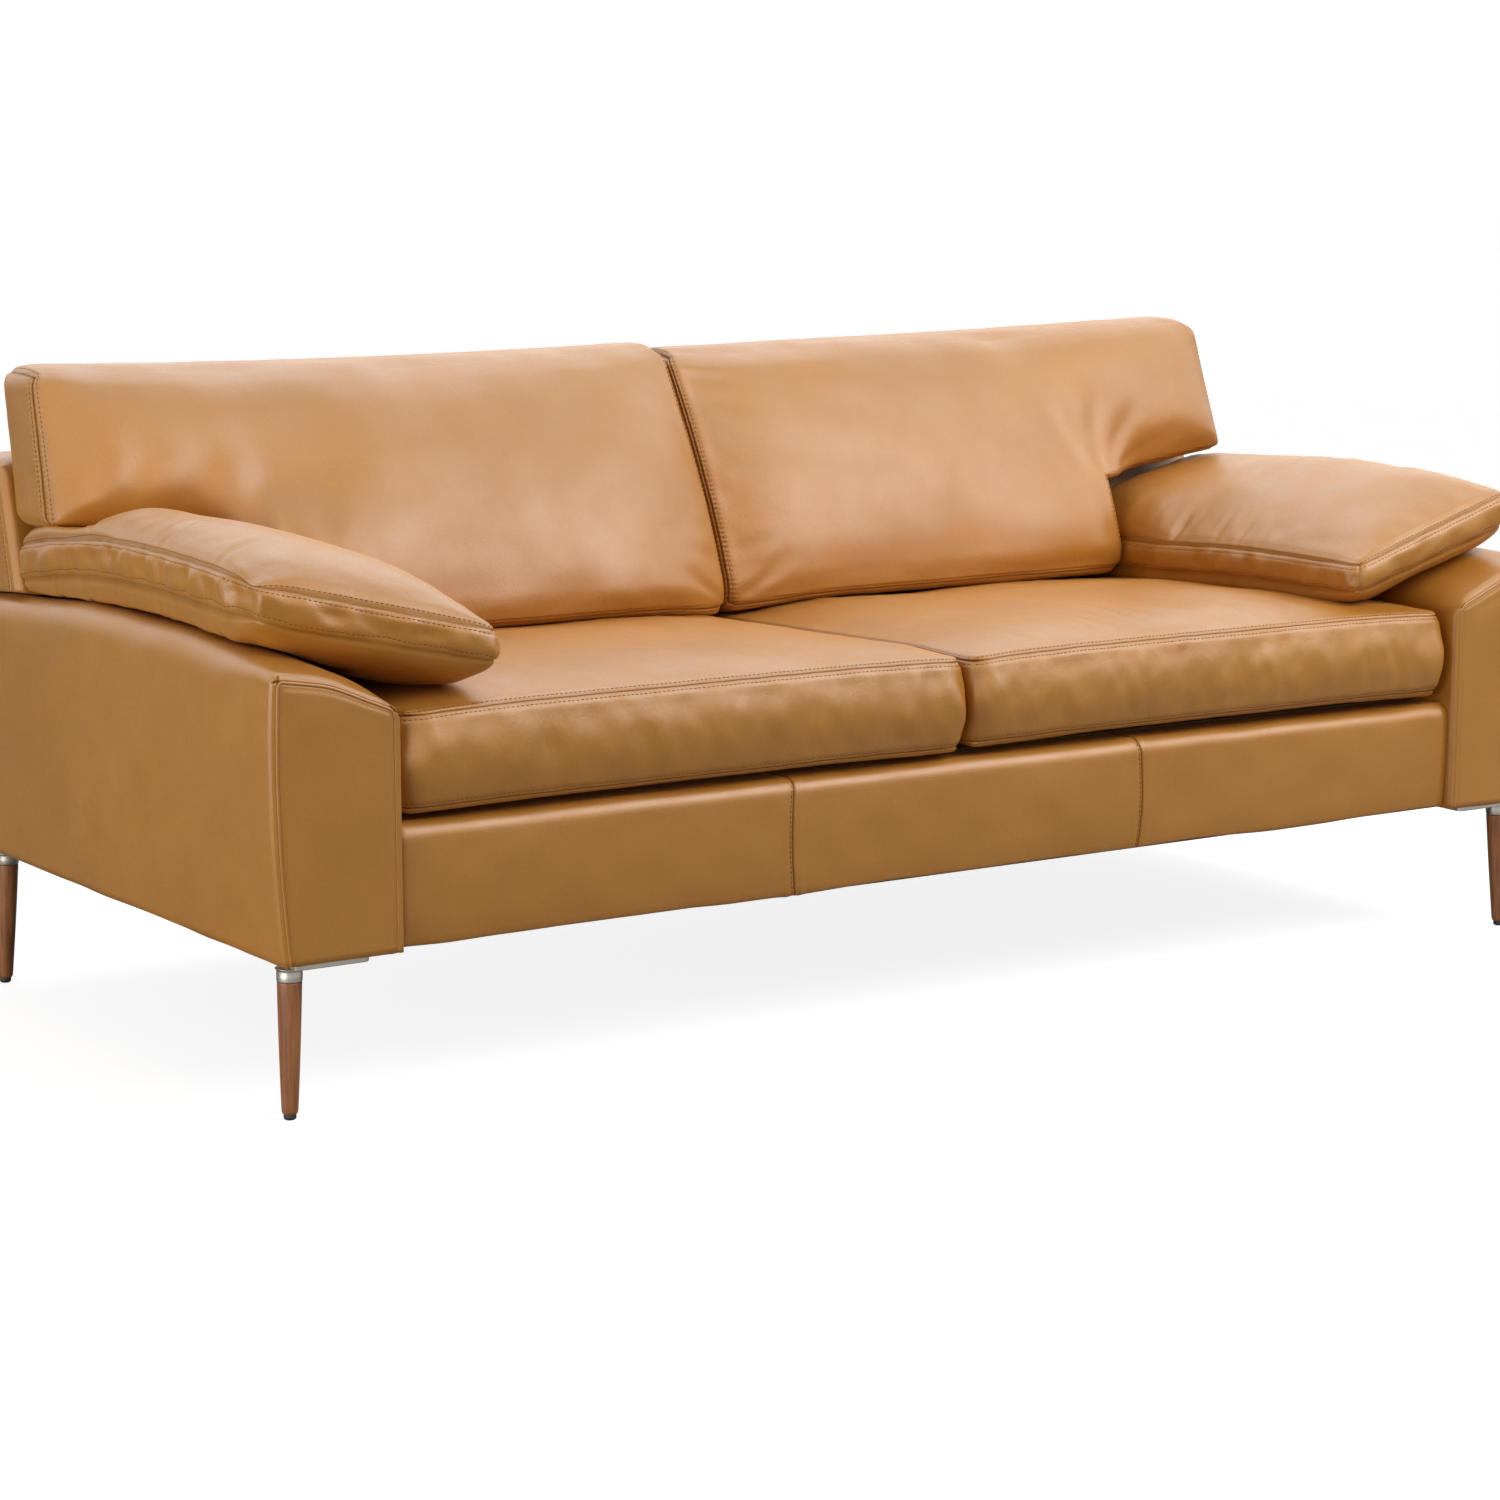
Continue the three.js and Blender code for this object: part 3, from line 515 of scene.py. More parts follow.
LOOKS = {
    "leather": {"slot": "leather", "material": leather()},
    "thread": {"slot": "leather", "material": thread()},
    "walnut": {"slot": "leg_wood", "material": timber(
        "walnut", colour(112, 64, 32), colour(178, 115, 66), 210, 0.4, 0.25)},
    "frame_wood": {"slot": "frame_wood", "material": timber(
        "pine", colour(196, 158, 108), colour(226, 196, 150), 120, 0.7, 0)},
    "aluminium": {"slot": "aluminium", "material": cast_metal(
        "cast_aluminium", (0.60, 0.56, 0.49, 1), 0.27, 900)},
    "steel": {"slot": "steel", "material": cast_metal("drawn_steel", (0.48, 0.48, 0.49, 1), 0.34, 1500)},
    "plastic": {"slot": "black_plastic", "material": moulded_plastic()},
    "deck_cloth": {"slot": "deck_fabric", "material": cloth(
        "deck_cloth", colour(120, 88, 52), colour(168, 134, 92), 260)},
    "dust_cloth": {"slot": "dust_fabric", "material": cloth(
        "dust_cloth", (0.008, 0.008, 0.009, 1), (0.03, 0.03, 0.032, 1), 420)},
}
NODE_LOOKS = {
    "arm_": "frame_wood", "corner_block": "frame_wood", "front_rail": "frame_wood", "rear_rail": "frame_wood",
    "centre_stretcher": "frame_wood", "back_": "frame_wood", "seat_spring": "steel", "hanger_bolt": "steel",
    "seat_deck_pad": "deck_cloth", "dust_cover": "dust_cloth", "leg_bracket": "aluminium",
    "leg_": "walnut", "glide": "plastic", "seat_cushion": "leather",
}


def dress_cad_nodes():
    for name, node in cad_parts.items():
        look = next(look for start, look in NODE_LOOKS.items() if name.startswith(start))
        node.data.materials.clear()
        node.data.materials.append(LOOKS[look]["material"])


dress_cad_nodes()


# ---- surfaces that the cushions rest on --------------------------------------------------------------
DECK_SLOPE = 0.03
SEAT_LOW, SEAT_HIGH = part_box("seat_cushion_right")
SEAT_SEAM_Z = 0.466
EAR = {"z": 0.602, "rise": 45 * MM, "inner_x": 0.683, "outer_x": 0.976}
BACK_RAKE = {"y": 0.286, "z": 0.534, "slope": 0.3}
ARM = {
    "inner_x": 0.832, "shoulder_x": 0.962, "shoulder": 34 * MM, "knee_z": 0.487,
    "crown": 26 * MM, "crown_y": -0.1, "front_span": 0.359, "rear_span": 0.559,
    "steep_from": 0.852, "steep": 0.44, "easy_from": 0.925, "easier_by": 0.28, "blend": 7 * MM,
}


def ear_underside(x):
    """Height of the underside of a back cushion's ear over the arm."""
    return EAR["z"] + EAR["rise"] * (x - EAR["inner_x"]) / (EAR["outer_x"] - EAR["inner_x"])


def back_front(z):
    """Depth of the raked front of the back."""
    return BACK_RAKE["y"] + BACK_RAKE["slope"] * (z - BACK_RAKE["z"])


def arm_crown(y):
    span = np.where(y < ARM["crown_y"], ARM["front_span"], ARM["rear_span"])
    return ARM["crown"] * (1 - ((y - ARM["crown_y"]) / span) ** 2)


def arm_rise(x):
    """Height of the arm's top over its knee: a steep slope, then an easy one."""
    def after(start):
        return ARM["blend"] * np.logaddexp(0, (x - start) / ARM["blend"])
    return ARM["steep"] * after(ARM["steep_from"]) - ARM["easier_by"] * after(ARM["easy_from"])


def arm_top(x, y):
    """Height of the arm's top, and well below everything inward of the arm."""
    top = ARM["knee_z"] + arm_rise(x) + arm_crown(y)
    return np.where(x > ARM["inner_x"] - 4 * MM, top, 0.3)


def dome(across, along, sides, ends):
    """1 in the middle of a cushion and 0 at its outline. sides and ends say how flat it is
    towards them and how steeply it falls there."""
    return (np.maximum(1 - np.abs(across) ** sides[0], 0) ** sides[1]
            * np.maximum(1 - np.abs(along) ** ends[0], 0) ** ends[1])


SEAT_DOME = (2, 0.8), (2.6, 0.8)


def seat_top(x, y):
    """Top of the seat cushion under the back cushion."""
    across = 2 * (x - SEAT_LOW.x) / (SEAT_HIGH.x - SEAT_LOW.x) - 1
    along = 2 * (y - SEAT_LOW.y) / (SEAT_HIGH.y - SEAT_LOW.y) - 1
    rise = 7 * MM + 21 * MM * dome(across, along, *SEAT_DOME)
    return SEAT_SEAM_Z + rise - DECK_SLOPE * (y - SEAT_LOW.y)


# ---- cushions ------------------------------------------------------------------------------------
FAR = 1.0
# Creases in the leather: start and end in the flat block, width and depth in millimetres.
BACK_FOLDS = {
    "left": [
        ((0.88, 0.16), (0.84, 0.28), 18, 2.2), ((0.80, 0.15), (0.75, 0.27), 20, 2.4),
        ((0.72, 0.14), (0.68, 0.25), 20, 2.2), ((0.64, 0.12), (0.61, 0.21), 16, 1.6),
        ((0.925, 0.18), (0.90, 0.26), 9, 2.4),
        ((0.02, 0.02), (0.10, 0.07), 9, 3.0), ((0.01, 0.07), (0.09, 0.10), 8, 2.0),
    ],
    "right": [
        ((0.69, 0.15), (0.80, 0.24), 13, 3.0), ((0.67, 0.15), (0.72, 0.28), 14, 2.6),
        ((0.70, 0.14), (0.90, 0.19), 12, 2.0), ((0.65, 0.14), (0.60, 0.26), 16, 2.2),
        ((0.01, 0.33), (0.09, 0.31), 7, 3.2), ((0.01, 0.30), (0.08, 0.27), 8, 2.4),
        ((0.02, 0.02), (0.10, 0.08), 10, 3.0), ((0.01, 0.08), (0.08, 0.10), 8, 1.8),
    ],
}
ARM_FOLDS = {
    "left": [((0.29, 0.1), (0.2, 0.13), 8, 2.6), ((0.29, 0.28), (0.22, 0.3), 9, 2.4),
             ((0.29, 0.52), (0.21, 0.54), 9, 3.0), ((0.29, 0.6), (0.22, 0.61), 8, 2.6)],
    "right": [((0.0, 0.33), (0.06, 0.345), 8, 0.9), ((0.0, 0.225), (0.065, 0.24), 8, 0.9),
              ((0.0, 0.28), (0.04, 0.28), 5, 1.8), ((0.0, 0.43), (0.05, 0.44), 8, 2.0)],
}


def box_gap(flat, size):
    """Distance of each point of a box's skin from the edge of its top or bottom, over the surface."""
    u, v, w = flat.T
    width, depth, height = size
    outline = np.minimum.reduce([u, width - u, v, depth - v])
    on_top, on_bottom = w > height - HAIR, w < HAIR
    top = np.where(on_top, outline, np.where(on_bottom, FAR, height - w))
    bottom = np.where(on_bottom, outline, np.where(on_top, FAR, w))
    return top, bottom, outline


def fold(a, c, start, end, width, depth):
    """A crease from start to end: a valley between two low ridges, fading at its ends."""
    way = np.subtract(end, start)
    length = np.hypot(*way)
    way = way / length
    along = (a - start[0]) * way[0] + (c - start[1]) * way[1]
    off = (c - start[1]) * way[0] - (a - start[0]) * way[1]
    share = np.clip(along / length, 0, 1)
    fade = np.sin(np.pi * np.clip(share**0.7, 0, 1)) ** 0.8
    spread = width * (0.7 + 0.6 * share)
    past = np.maximum(np.abs(along / length - 0.5) - 0.5, 0) * length
    valley = bell(off, spread) - 0.45 * bell(np.abs(off) - 1.7 * spread, spread)
    return -depth * fade * valley * bell(past, width)


def folded(relief, a, c, folds):
    """The relief with the listed creases added."""
    for start, end, width, depth in folds:
        relief = relief + fold(a, c, start, end, width * MM, depth * MM)
    return relief


def push_out(points, low, high, amount):
    """Pushes what lies outside an upright box inset from the outline away from it, in plan."""
    inner = np.clip(points[:, :2], low, high)
    away = points[:, :2] - inner
    far = np.linalg.norm(away, axis=1)[:, None]
    points[:, :2] += away / np.maximum(far, 1e-9) * np.asarray(amount)[:, None] * (far > HAIR)
    return points


class BoxPad:
    """A boxed cushion: top, bottom and an upright border with a seam all round at each edge.
    Its flat block is size wide, deep and high."""

    pucker = 0.0
    marks = ((), (), ())
    empty = ()

    def seams(self):
        return [(0, length) for length in self.size]

    def rounded(self, flat, bulge):
        """The block with its four upright edges rounded and its border pushed out by bulge."""
        width, depth, _ = self.size
        r = self.corner
        points = flat.copy()
        for x, y in itertools.product((0, width), (0, depth)):
            points = round_edge(points, (0, 1), (x, y), (r if x else -r, r if y else -r))
        return push_out(points, (r, r), (width - r, depth - r), bulge)

    def gaps(self, flat):
        return box_gap(flat, self.size)[:2]

    def border(self, flat):
        """Which points are on the border, and how far each is from the outline."""
        top, bottom, outline = box_gap(flat, self.size)
        return (top < FAR) & (bottom < FAR), outline

    def level(self, flat):
        """0 at both edges of the border and 1 half-way up."""
        return np.sin(np.pi * np.clip(flat[:, 2] / self.size[2], 0, 1))

    def routes(self):
        width, depth, height = self.size
        edge = [(0, 0), (width, depth)]
        return [self.top_row(), ring(*edge, height - STITCH["row"]), ring(*edge, STITCH["row"])]


class SeatPad(BoxPad):
    """Boxed seat cushion: crowned top and padded border, resting on the raked deck."""

    step = 7.5 * MM
    fill, pressure, cap = 0.85, 2.6, 9 * MM
    seam_depth = (2.3 * MM, 2.2 * MM)
    height = 108 * MM
    bulge, belly = 16 * MM, 14 * MM

    def __init__(self, side_name):
        self.low, self.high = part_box("seat_cushion_right")
        self.foot = self.low.z + DECK_SLOPE * (self.high.y - self.low.y)
        self.size = (self.high.x - self.low.x, self.high.y - self.low.y - 3 * MM, self.height)
        self.corner = {"right": 32 * MM, "left": 42 * MM}[side_name]
        self.crown = {"right": 11 * MM, "left": 13 * MM}[side_name]
        self.droop = {"right": 3 * MM, "left": 7 * MM}[side_name]
        self.seed = {"right": 21, "left": 34}[side_name]

    def shape(self, flat):
        u, v, w = flat.T
        width, depth, height = self.size
        share = w / height
        points = self.rounded(flat, self.bulge * np.sin(np.pi * np.clip(share, 0, 1) ** 0.9))
        outline = box_gap(flat, self.size)[2]
        across, along = 2 * u / width - 1, 2 * v / depth - 1
        rise = 7 * MM * (1 - np.exp(-outline / (13 * MM))) + self.crown * dome(across, along, *SEAT_DOME)
        drop = self.belly * (1 - np.exp(-outline / (16 * MM)))
        points[:, 2] += np.where(share > 0.999, rise, 0) - np.where(share < 0.001, drop, 0)
        points[:, 2] -= 5 * MM * np.abs(across) ** 5 * (1 - smooth(v, 0, 0.15)) * (0.4 + share)
        points[:, 2] -= self.droop * (1 - smooth(v, 0, 90 * MM)) * (1 - share)
        points[:, 2] += self.foot + self.belly - DECK_SLOPE * v
        points[:, 0] += self.low.x
        points[:, 1] += self.low.y + self.bulge * 0.75
        return points

    def slack(self, flat):
        border, outline = self.border(flat)
        under = box_gap(flat, self.size)[1] < FAR
        return np.where(border, 1.0, np.where(under, 0.0, 0.15 + 0.5 * bell(outline, 40 * MM)))

    def relief(self, flat, points):
        border, outline = self.border(flat)
        upright = ripple(points, 62 * MM, self.seed, (1, 1, 3.2))
        upright = upright + 0.6 * ripple(points, 31 * MM, self.seed + 1, (1, 1, 2))
        lines = -np.abs(ripple(points, 90 * MM, self.seed + 2, (1, 1, 2.4))) * 0.8
        broad = ripple(points, 0.24, self.seed + 3) * 1.3
        fine = ripple(points, 0.07, self.seed + 4, (0.7, 1.6, 1)) * 0.35
        wrinkles = 1.3 * self.level(flat) ** 0.6 * (upright + lines)
        return np.where(border, wrinkles, (broad + fine) * smooth(outline, 5 * MM, 60 * MM)) * MM

    def confine(self, points):
        low, high = self.low, self.high
        points[:, 0] = soft_max(soft_min(points[:, 0], high.x + 3 * MM, 2 * MM), low.x - 1.2 * MM, 2 * MM)
        points[:, 1] = soft_max(points[:, 1], low.y - 5 * MM, 2 * MM)
        run = points[:, 1] - low.y
        deck = self.foot - DECK_SLOPE * run - 4 * MM * (1 - smooth(run, 0, 60 * MM))
        points[:, 2] = soft_max(points[:, 2], deck, 2 * MM)
        return points

    def top_row(self):
        width, depth, height = self.size
        row = STITCH["row"]
        return ring((row, row), (width - row, depth - row), height)


class ArmPad(BoxPad):
    """Boxed arm cushion, tilted down to the seat: domed over and under, resting on the sloping arm."""

    step = 7 * MM
    fill, pressure, cap = 0.7, 2.0, 5 * MM
    seam_depth = (1.7 * MM, 1.5 * MM)
    width, height = 292 * MM, 42 * MM
    corner, sag = 20 * MM, 52 * MM
    outer_z = 0.6135
    rear_start = (0.42, 0.58)
    rear_shift, front_fall, rear_fall = 26 * MM, 12 * MM, 33 * MM
    seat_edge = (0.478, -0.45)  # Height and place of the seat's front edge

    def __init__(self, side_name):
        self.low, self.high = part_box("arm_cushion_right")
        self.size = (self.width, self.high.y - self.low.y, self.height)
        self.inner_z = {"right": 0.519, "left": 0.536}[side_name]
        self.front_shift = {"right": (32 * MM, 46 * MM), "left": (2 * MM, 62 * MM)}[side_name]
        self.dome = {"right": 40 * MM, "left": 59 * MM}[side_name]
        self.rear_rise = {"right": 19 * MM, "left": 9 * MM}[side_name]
        self.wrinkle = {"right": 1.4, "left": 2.1}[side_name]
        self.seed = {"right": 55, "left": 89}[side_name]
        self.dent = {"right": 0, "left": 1}[side_name]
        self.ear_start = {"right": -60 * MM, "left": 20 * MM}[side_name]
        self.folds = ARM_FOLDS[side_name]

    def shape(self, flat):
        u, v, w = flat.T
        width, depth, height = self.size
        share = w / height
        points = self.rounded(flat, 7 * MM * 4 * share * (1 - share))
        across, along = 2 * u / width - 1, 2 * v / depth - 1
        pillow = dome(across, along, (3.4, 0.75), (5, 0.65))
        belly = dome(across, along, (6, 0.55), (6, 0.6))
        roof = lerp(self.dome * pillow, (self.dome + self.rear_rise) * belly, smooth(v, *self.rear_start))
        # Domed over, bellied under, and thicker towards the outer side.
        outward = points[:, 0] / width
        points[:, 0] += np.where(share < 0.001, 11 * MM * np.clip(across, 0, 1) ** 3 * belly, 0)
        points[:, 2] = (points[:, 2] - height / 2) * lerp(0.88, 1.06, outward)
        points[:, 2] += np.where(share > 0.999, roof, 0) - np.where(share < 0.001, self.sag * belly, 0)
        points[:, 0] += self.low.x + 14 * MM * (1 - outward) * smooth(v, 0.44, 0.56)
        # Skewed in plan, and following the arm's fall to both its ends.
        near, far = 1 - smooth(v, 0, depth * 0.75), smooth(v, depth * 0.6, depth)
        points[:, 1] += self.low.y + lerp(*self.front_shift, outward) * near + self.rear_shift * outward * far
        run = points[:, 1] + 50 * MM
        fall = np.where(run > 0, self.rear_fall * (run / 0.35) ** 2, self.front_fall * (run / 0.33) ** 2)
        inner = self.inner_z - 14 * MM * smooth(points[:, 1], -0.2, 0.15)
        points[:, 2] += lerp(inner, self.outer_z - fall, outward)
        return self.confine(points)

    def slack(self, flat):
        border, outline = self.border(flat)
        return np.where(border, 1.0, 0.25 + 0.75 * bell(outline, 45 * MM))

    def relief(self, flat, points):
        u, v = flat[:, 0], flat[:, 1]
        border, outline = self.border(flat)
        upright = ripple(points, 46 * MM, self.seed, (1, 1, 3))
        upright = upright + 0.5 * ripple(points, 24 * MM, self.seed + 1, (1, 1, 2))
        ridges = upright - 1.2 * np.abs(ripple(points, 70 * MM, self.seed + 5, (1, 1, 2)))
        corner = -2 * bell(np.hypot(u, v), 2 * MM)
        gather = ripple(points, 52 * MM, self.seed + 2, (1, 1, 1)) * bell(outline, 34 * MM)
        broad = ripple(points, 0.2, self.seed + 3) * 0.8
        panel = (broad + 1.2 * gather) * smooth(outline, 2 * MM, 30 * MM) * MM
        panel = folded(panel, u, v, self.folds)
        dent = -9 * bell(u - self.size[0], 30 * MM) * bell(v - 22 * MM, 26 * MM)
        side = (self.wrinkle * ridges * self.level(flat) ** 0.7 + corner) * MM
        return np.where(border, side, panel) + self.dent * dent * MM

    def confine(self, points):
        """Under the ear, over the arm and the seat, before the back and inside the sofa's width."""
        x, y, z = points.T
        ear = ear_underside(x) - 3 * MM
        under_ear = smooth(y, self.ear_start, 0.17)
        points[:, 2] = np.where(under_ear > 0, lerp(z, soft_min(z, ear, 8 * MM), under_ear), z)
        over = np.clip((x - ARM["shoulder_x"]) / (HALF_WIDTH - ARM["shoulder_x"]), 0, 0.97)
        rounded = ARM["shoulder"] * (1 - np.sqrt(1 - over**2)) * smooth(y, -0.45, -0.3)
        points[:, 2] = soft_max(points[:, 2], arm_top(x, y) + 3 * MM - rounded, 3 * MM)
        seat_z, seat_y = self.seat_edge
        seat = np.where(x < ARM["inner_x"], seat_z - DECK_SLOPE * (y - seat_y), 0)
        points[:, 2] = soft_max(points[:, 2], seat, 3 * MM)
        points[:, 1] = soft_min(points[:, 1], back_front(points[:, 2]) - 2 * MM, 3 * MM)
        points[:, 0] = soft_min(points[:, 0], HALF_WIDTH - 2 * MM, 3 * MM)
        return points

    def top_row(self):
        """A row close to the seam in the flat block, because the cover rises steeply beside it."""
        width, depth, height = self.size
        near, steep = 2 * MM, 0.5 * MM
        turn_steep, turned_steep = self.rear_start
        inner = [(near, turn_steep, height), (steep, turned_steep, height), (steep, depth - 1 * MM, height)]
        outer = [(width - u, v, w) for u, v, w in inner]
        front = [(near, 2.5 * MM, height), (width - near, 2.5 * MM, height)]
        return inner[::-1] + front + outer


class BackPad:
    """Back cushion: its face wraps over the top, side panels are seamed in, and an ear reaches
    out over the arm."""

    step = 8 * MM
    pucker = 1.0
    fill, pressure, cap = 0.75, 2.4, 12 * MM
    seam_depth = (2.5 * MM, 1.6 * MM)
    thick = 110 * MM
    top_depth, bulge = 92 * MM, 12 * MM
    edge_depth, top_edge_depth, ear_depth = 141 * MM, 72 * MM, 90 * MM

    def __init__(self, side_name):
        self.low, self.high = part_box("back_cushion_right")
        self.size = (self.high.x - self.low.x, self.thick, self.high.z - self.low.z)
        self.body = EAR["inner_x"] - self.low.x
        self.notch = EAR["z"] - self.low.z
        self.depth = {"right": 0.178, "left": 0.228}[side_name]
        self.rise = {"right": 39 * MM, "left": 31 * MM}[side_name]
        self.lift = {"right": 9 * MM, "left": 1 * MM}[side_name]
        self.drop = {"right": 8 * MM, "left": 0}[side_name]
        self.seed = {"right": 144, "left": 233}[side_name]
        self.folds = BACK_FOLDS[side_name]
        self.marks = ((self.body,), (), (self.notch,))
        self.empty = [((self.body, -1, -1), (2, 1, self.notch))]

    def seams(self):
        return [(0, self.size[0], self.body), (0, self.size[1]), (0, self.notch)]

    def side_gap(self, a, c):
        """Distance from the side outline: split side, notch and ear end, with soft corners between."""
        notch_up = np.hypot(a - self.body, np.maximum(c - self.notch, 0))
        notch_out = np.hypot(np.maximum(self.body - a, 0), c - self.notch)
        parts = [a, self.size[0] - a, notch_up, notch_out]
        return sum((np.abs(part) + 1e-5) ** -4.0 for part in parts) ** -0.25

    def shape(self, flat):
        a, c = flat[:, 0], flat[:, 2]
        width, thick, height = self.size
        body, notch = self.body, self.notch
        points = flat.copy()
        seen_from_front = (
            ((0, height), (-26, 26)), ((width, height), (34, 34)), ((width, notch), (16, -16)),
            ((0, 0), (-16, -16)), ((body, 0), (18, -18)),
        )
        seen_from_side = (
            ((0, height), (-52, 30)), ((thick, height), (30, 20)),
            ((0, 0), (-40, -52)), ((thick, 0), (20, -14)),
        )
        for axes, edges in (((0, 2), seen_from_front), ((1, 2), seen_from_side)):
            for corner, radii in edges:
                points = round_edge(points, axes, corner, [radius * MM for radius in radii])
        across, level = points[:, 0], np.clip(points[:, 2] / height, 0, 1)
        # Thickness: full in the middle, less at the sides and in the ear.
        gap = self.side_gap(a, c)
        full = lerp(self.depth, self.top_depth, level**1.7) + self.bulge * np.sin(np.pi * level) ** 1.2
        edge = lerp(self.edge_depth, self.top_edge_depth, level**1.9)
        by_arm = smooth(a, body * 0.6, body) * (1 - smooth(c, notch - 10 * MM, notch + 0.1))
        edge = lerp(edge, full - 14 * MM, by_arm)
        edge = lerp(edge, self.ear_depth, smooth(a, body, body + 0.12))
        puff = 1 - np.exp(-((gap / (95 * MM)) ** 0.9))
        depth = edge + (full - edge) * puff + 5 * MM * (1 - np.exp(-gap / (7 * MM)))
        # Side panels bulge, and the face swells over the notch beside the arm.
        share = np.clip(1 - points[:, 1] / thick, 0, 1)
        side_share = 4 * share * (1 - share) * 9 * MM
        points[:, 0] += side_share * (bell(width - a, 1 * MM) * 0.8 - bell(a, 1 * MM) * 0.3)
        points[:, 0] += side_share * bell(a - body, 1 * MM) * (c < notch + HAIR) * 0.6
        push = smooth(a, body - 0.09, body) * (1 - smooth(a, body, body + 0.11))
        push = push * (1 - smooth(c, notch, notch + 0.09))
        points[:, 0] += 13 * MM * push
        points[:, 2] += 8 * MM * push * smooth(c, notch - 0.1, notch)
        # The ear rises outwards, and the top sways between its ends.
        reach = np.clip((across - body) / (width - body), 0, 1)
        up = np.clip((points[:, 2] - notch) / (height - notch), 0, 1)
        points[:, 2] += self.rise * reach * (1 - up)
        points[:, 2] += (self.lift * smooth(across, 0.1, width) - self.drop * bell(across, 0.2)) * level
        points[:, 2] -= side_share * bell(c - notch, 1 * MM) * (a > body - HAIR) * 0.5
        points[:, 0] -= 9 * MM * smooth(across, body, width) * up
        sway = 5 * MM * np.sin(np.pi * np.clip(a / width, 0, 1)) * smooth(level, 0.8, 1)
        points[:, 2] += self.low.z - sway - 12 * MM * bell(a, 0.1) * (1 - smooth(level, 0, 0.25))
        # The rear lies on the raked back.
        rear = back_front(points[:, 2]) - 5 * MM
        points[:, 1] = rear - share * depth
        points[:, 0] += self.low.x
        return points

    def gaps(self, flat):
        """Distances over the surface from the front seam and from the rear seam."""
        a, b, c = flat.T
        width, thick, height = self.size
        on_front, on_rear, on_top = b < HAIR, b > thick - HAIR, c > height - HAIR
        parts = [a, width - a, c, np.hypot(np.maximum(self.body - a, 0), c - self.notch),
                 np.hypot(a - self.body, np.maximum(c - self.notch, 0))]
        outline = np.minimum.reduce(parts)
        wrap = np.minimum(a, width - a)
        front = np.where(on_front, outline, np.where(on_rear, FAR, np.where(on_top, wrap, b)))
        rear = np.where(on_rear, np.minimum(outline, height - c), np.where(on_front, FAR, thick - b))
        return front, np.where(on_top & (rear > wrap), FAR, rear)

    def slack(self, flat):
        front = self.gaps(flat)[0]
        on_face = flat[:, 1] < HAIR
        return np.where(on_face, 0.12 + 0.6 * bell(front, 45 * MM), 0.8)

    def relief(self, flat, points):
        a, b, c = flat.T
        gap = self.gaps(flat)[0]
        pucker = ripple(points, 30 * MM, self.seed, (2.5, 2.5, 1)) * bell(gap, 30 * MM) * 1.1
        broad = ripple(points, 0.26, self.seed + 1) * 2.0 + ripple(points, 0.11, self.seed + 2) * 0.5
        face = (broad + pucker) * smooth(gap, 1 * MM, 40 * MM) * MM
        face = folded(face, a, c, self.folds)
        return np.where(b < 0.6 * self.size[1], face * (1 - smooth(b, 0, 0.05)), 0)

    def confine(self, points):
        x, y, z = points.T
        on_seat = x < EAR["inner_x"] + 4 * MM
        points[:, 2] = np.where(on_seat, soft_max(z, seat_top(x, y) + 3 * MM, 3 * MM), z)
        points[:, 0] = soft_max(x, 1.2 * MM, 1.5 * MM)
        points[:, 1] = soft_min(points[:, 1], back_front(points[:, 2]) - 2 * MM, 2 * MM)
        points[:, 2] = soft_min(points[:, 2], self.high.z + 14 * MM, 3 * MM)
        return points

    def routes(self):
        width, thick, height = self.size
        row = STITCH["row"]
        body, notch = self.body, self.notch
        split = [[(row, 0, 0), (row, 0, height), (row, thick, height)], [(0, row, 0), (0, row, height)]]
        ear = [
            [(body - row, 0, 0), (body - row, 0, notch + row), (width - row, 0, notch + row),
             (width - row, 0, height), (width - row, thick, height)],
            [(body, row, 0), (body, row, notch), (width, row, notch), (width, row, height)],
        ]
        return split + ear


def cushion_skin(pad, step, seams):
    lines = [rows(0, size, step, seam, marks) for size, seam, marks in zip(pad.size, seams, pad.marks)]
    return Skin(lines, pad.empty)


def make_cushion(kind, side_name, pad):
    """Stuffs a coarse cover as cloth, lays the result on a fine skin, then adds seams, folds and stitches."""
    side, name = SIDES[side_name], f"{kind}_{side_name}"
    coarse = cushion_skin(pad, CLOTH_STEP, [()] * 3)
    held = (np.minimum(*pad.gaps(coarse.flat)) < 1 * MM) * 1.0
    move = stuffed(pad.shape(coarse.flat), coarse.quads, held, pad.slack(coarse.flat), pad.pressure, pad.cap)
    fine = cushion_skin(pad, pad.step, pad.seams())
    points = pad.shape(fine.flat) + fine.smoothed(coarse.sample(move, fine.flat), 8)
    points = pad.confine(points)
    gaps = pad.gaps(fine.flat)
    dip = sum(seam_dip(gap, depth) for gap, depth in zip(gaps, pad.seam_depth))
    relief = pad.relief(fine.flat, points)
    points = points + fine.normals(points) * (relief + dip)[:, None]
    # Painted shade along the seams, deepest at the bottom of each valley.
    made = piece(name + "_cover", points, fine.quads, side, name, "leather", [name],
                 crease=np.clip(-dip / (2.2 * MM), 0, 1) ** 1.8, slack=pad.slack(fine.flat),
                 pucker=pad.pucker * bell(gaps[0] - 5 * MM, 5 * MM))
    stitching(name + "_stitching", fine, points, pad.routes(), side, name)


for side_name in SIDES:
    make_cushion("seat_cushion", side_name, SeatPad(side_name))
    make_cushion("back_cushion", side_name, BackPad(side_name))
    make_cushion("arm_cushion", side_name, ArmPad(side_name))


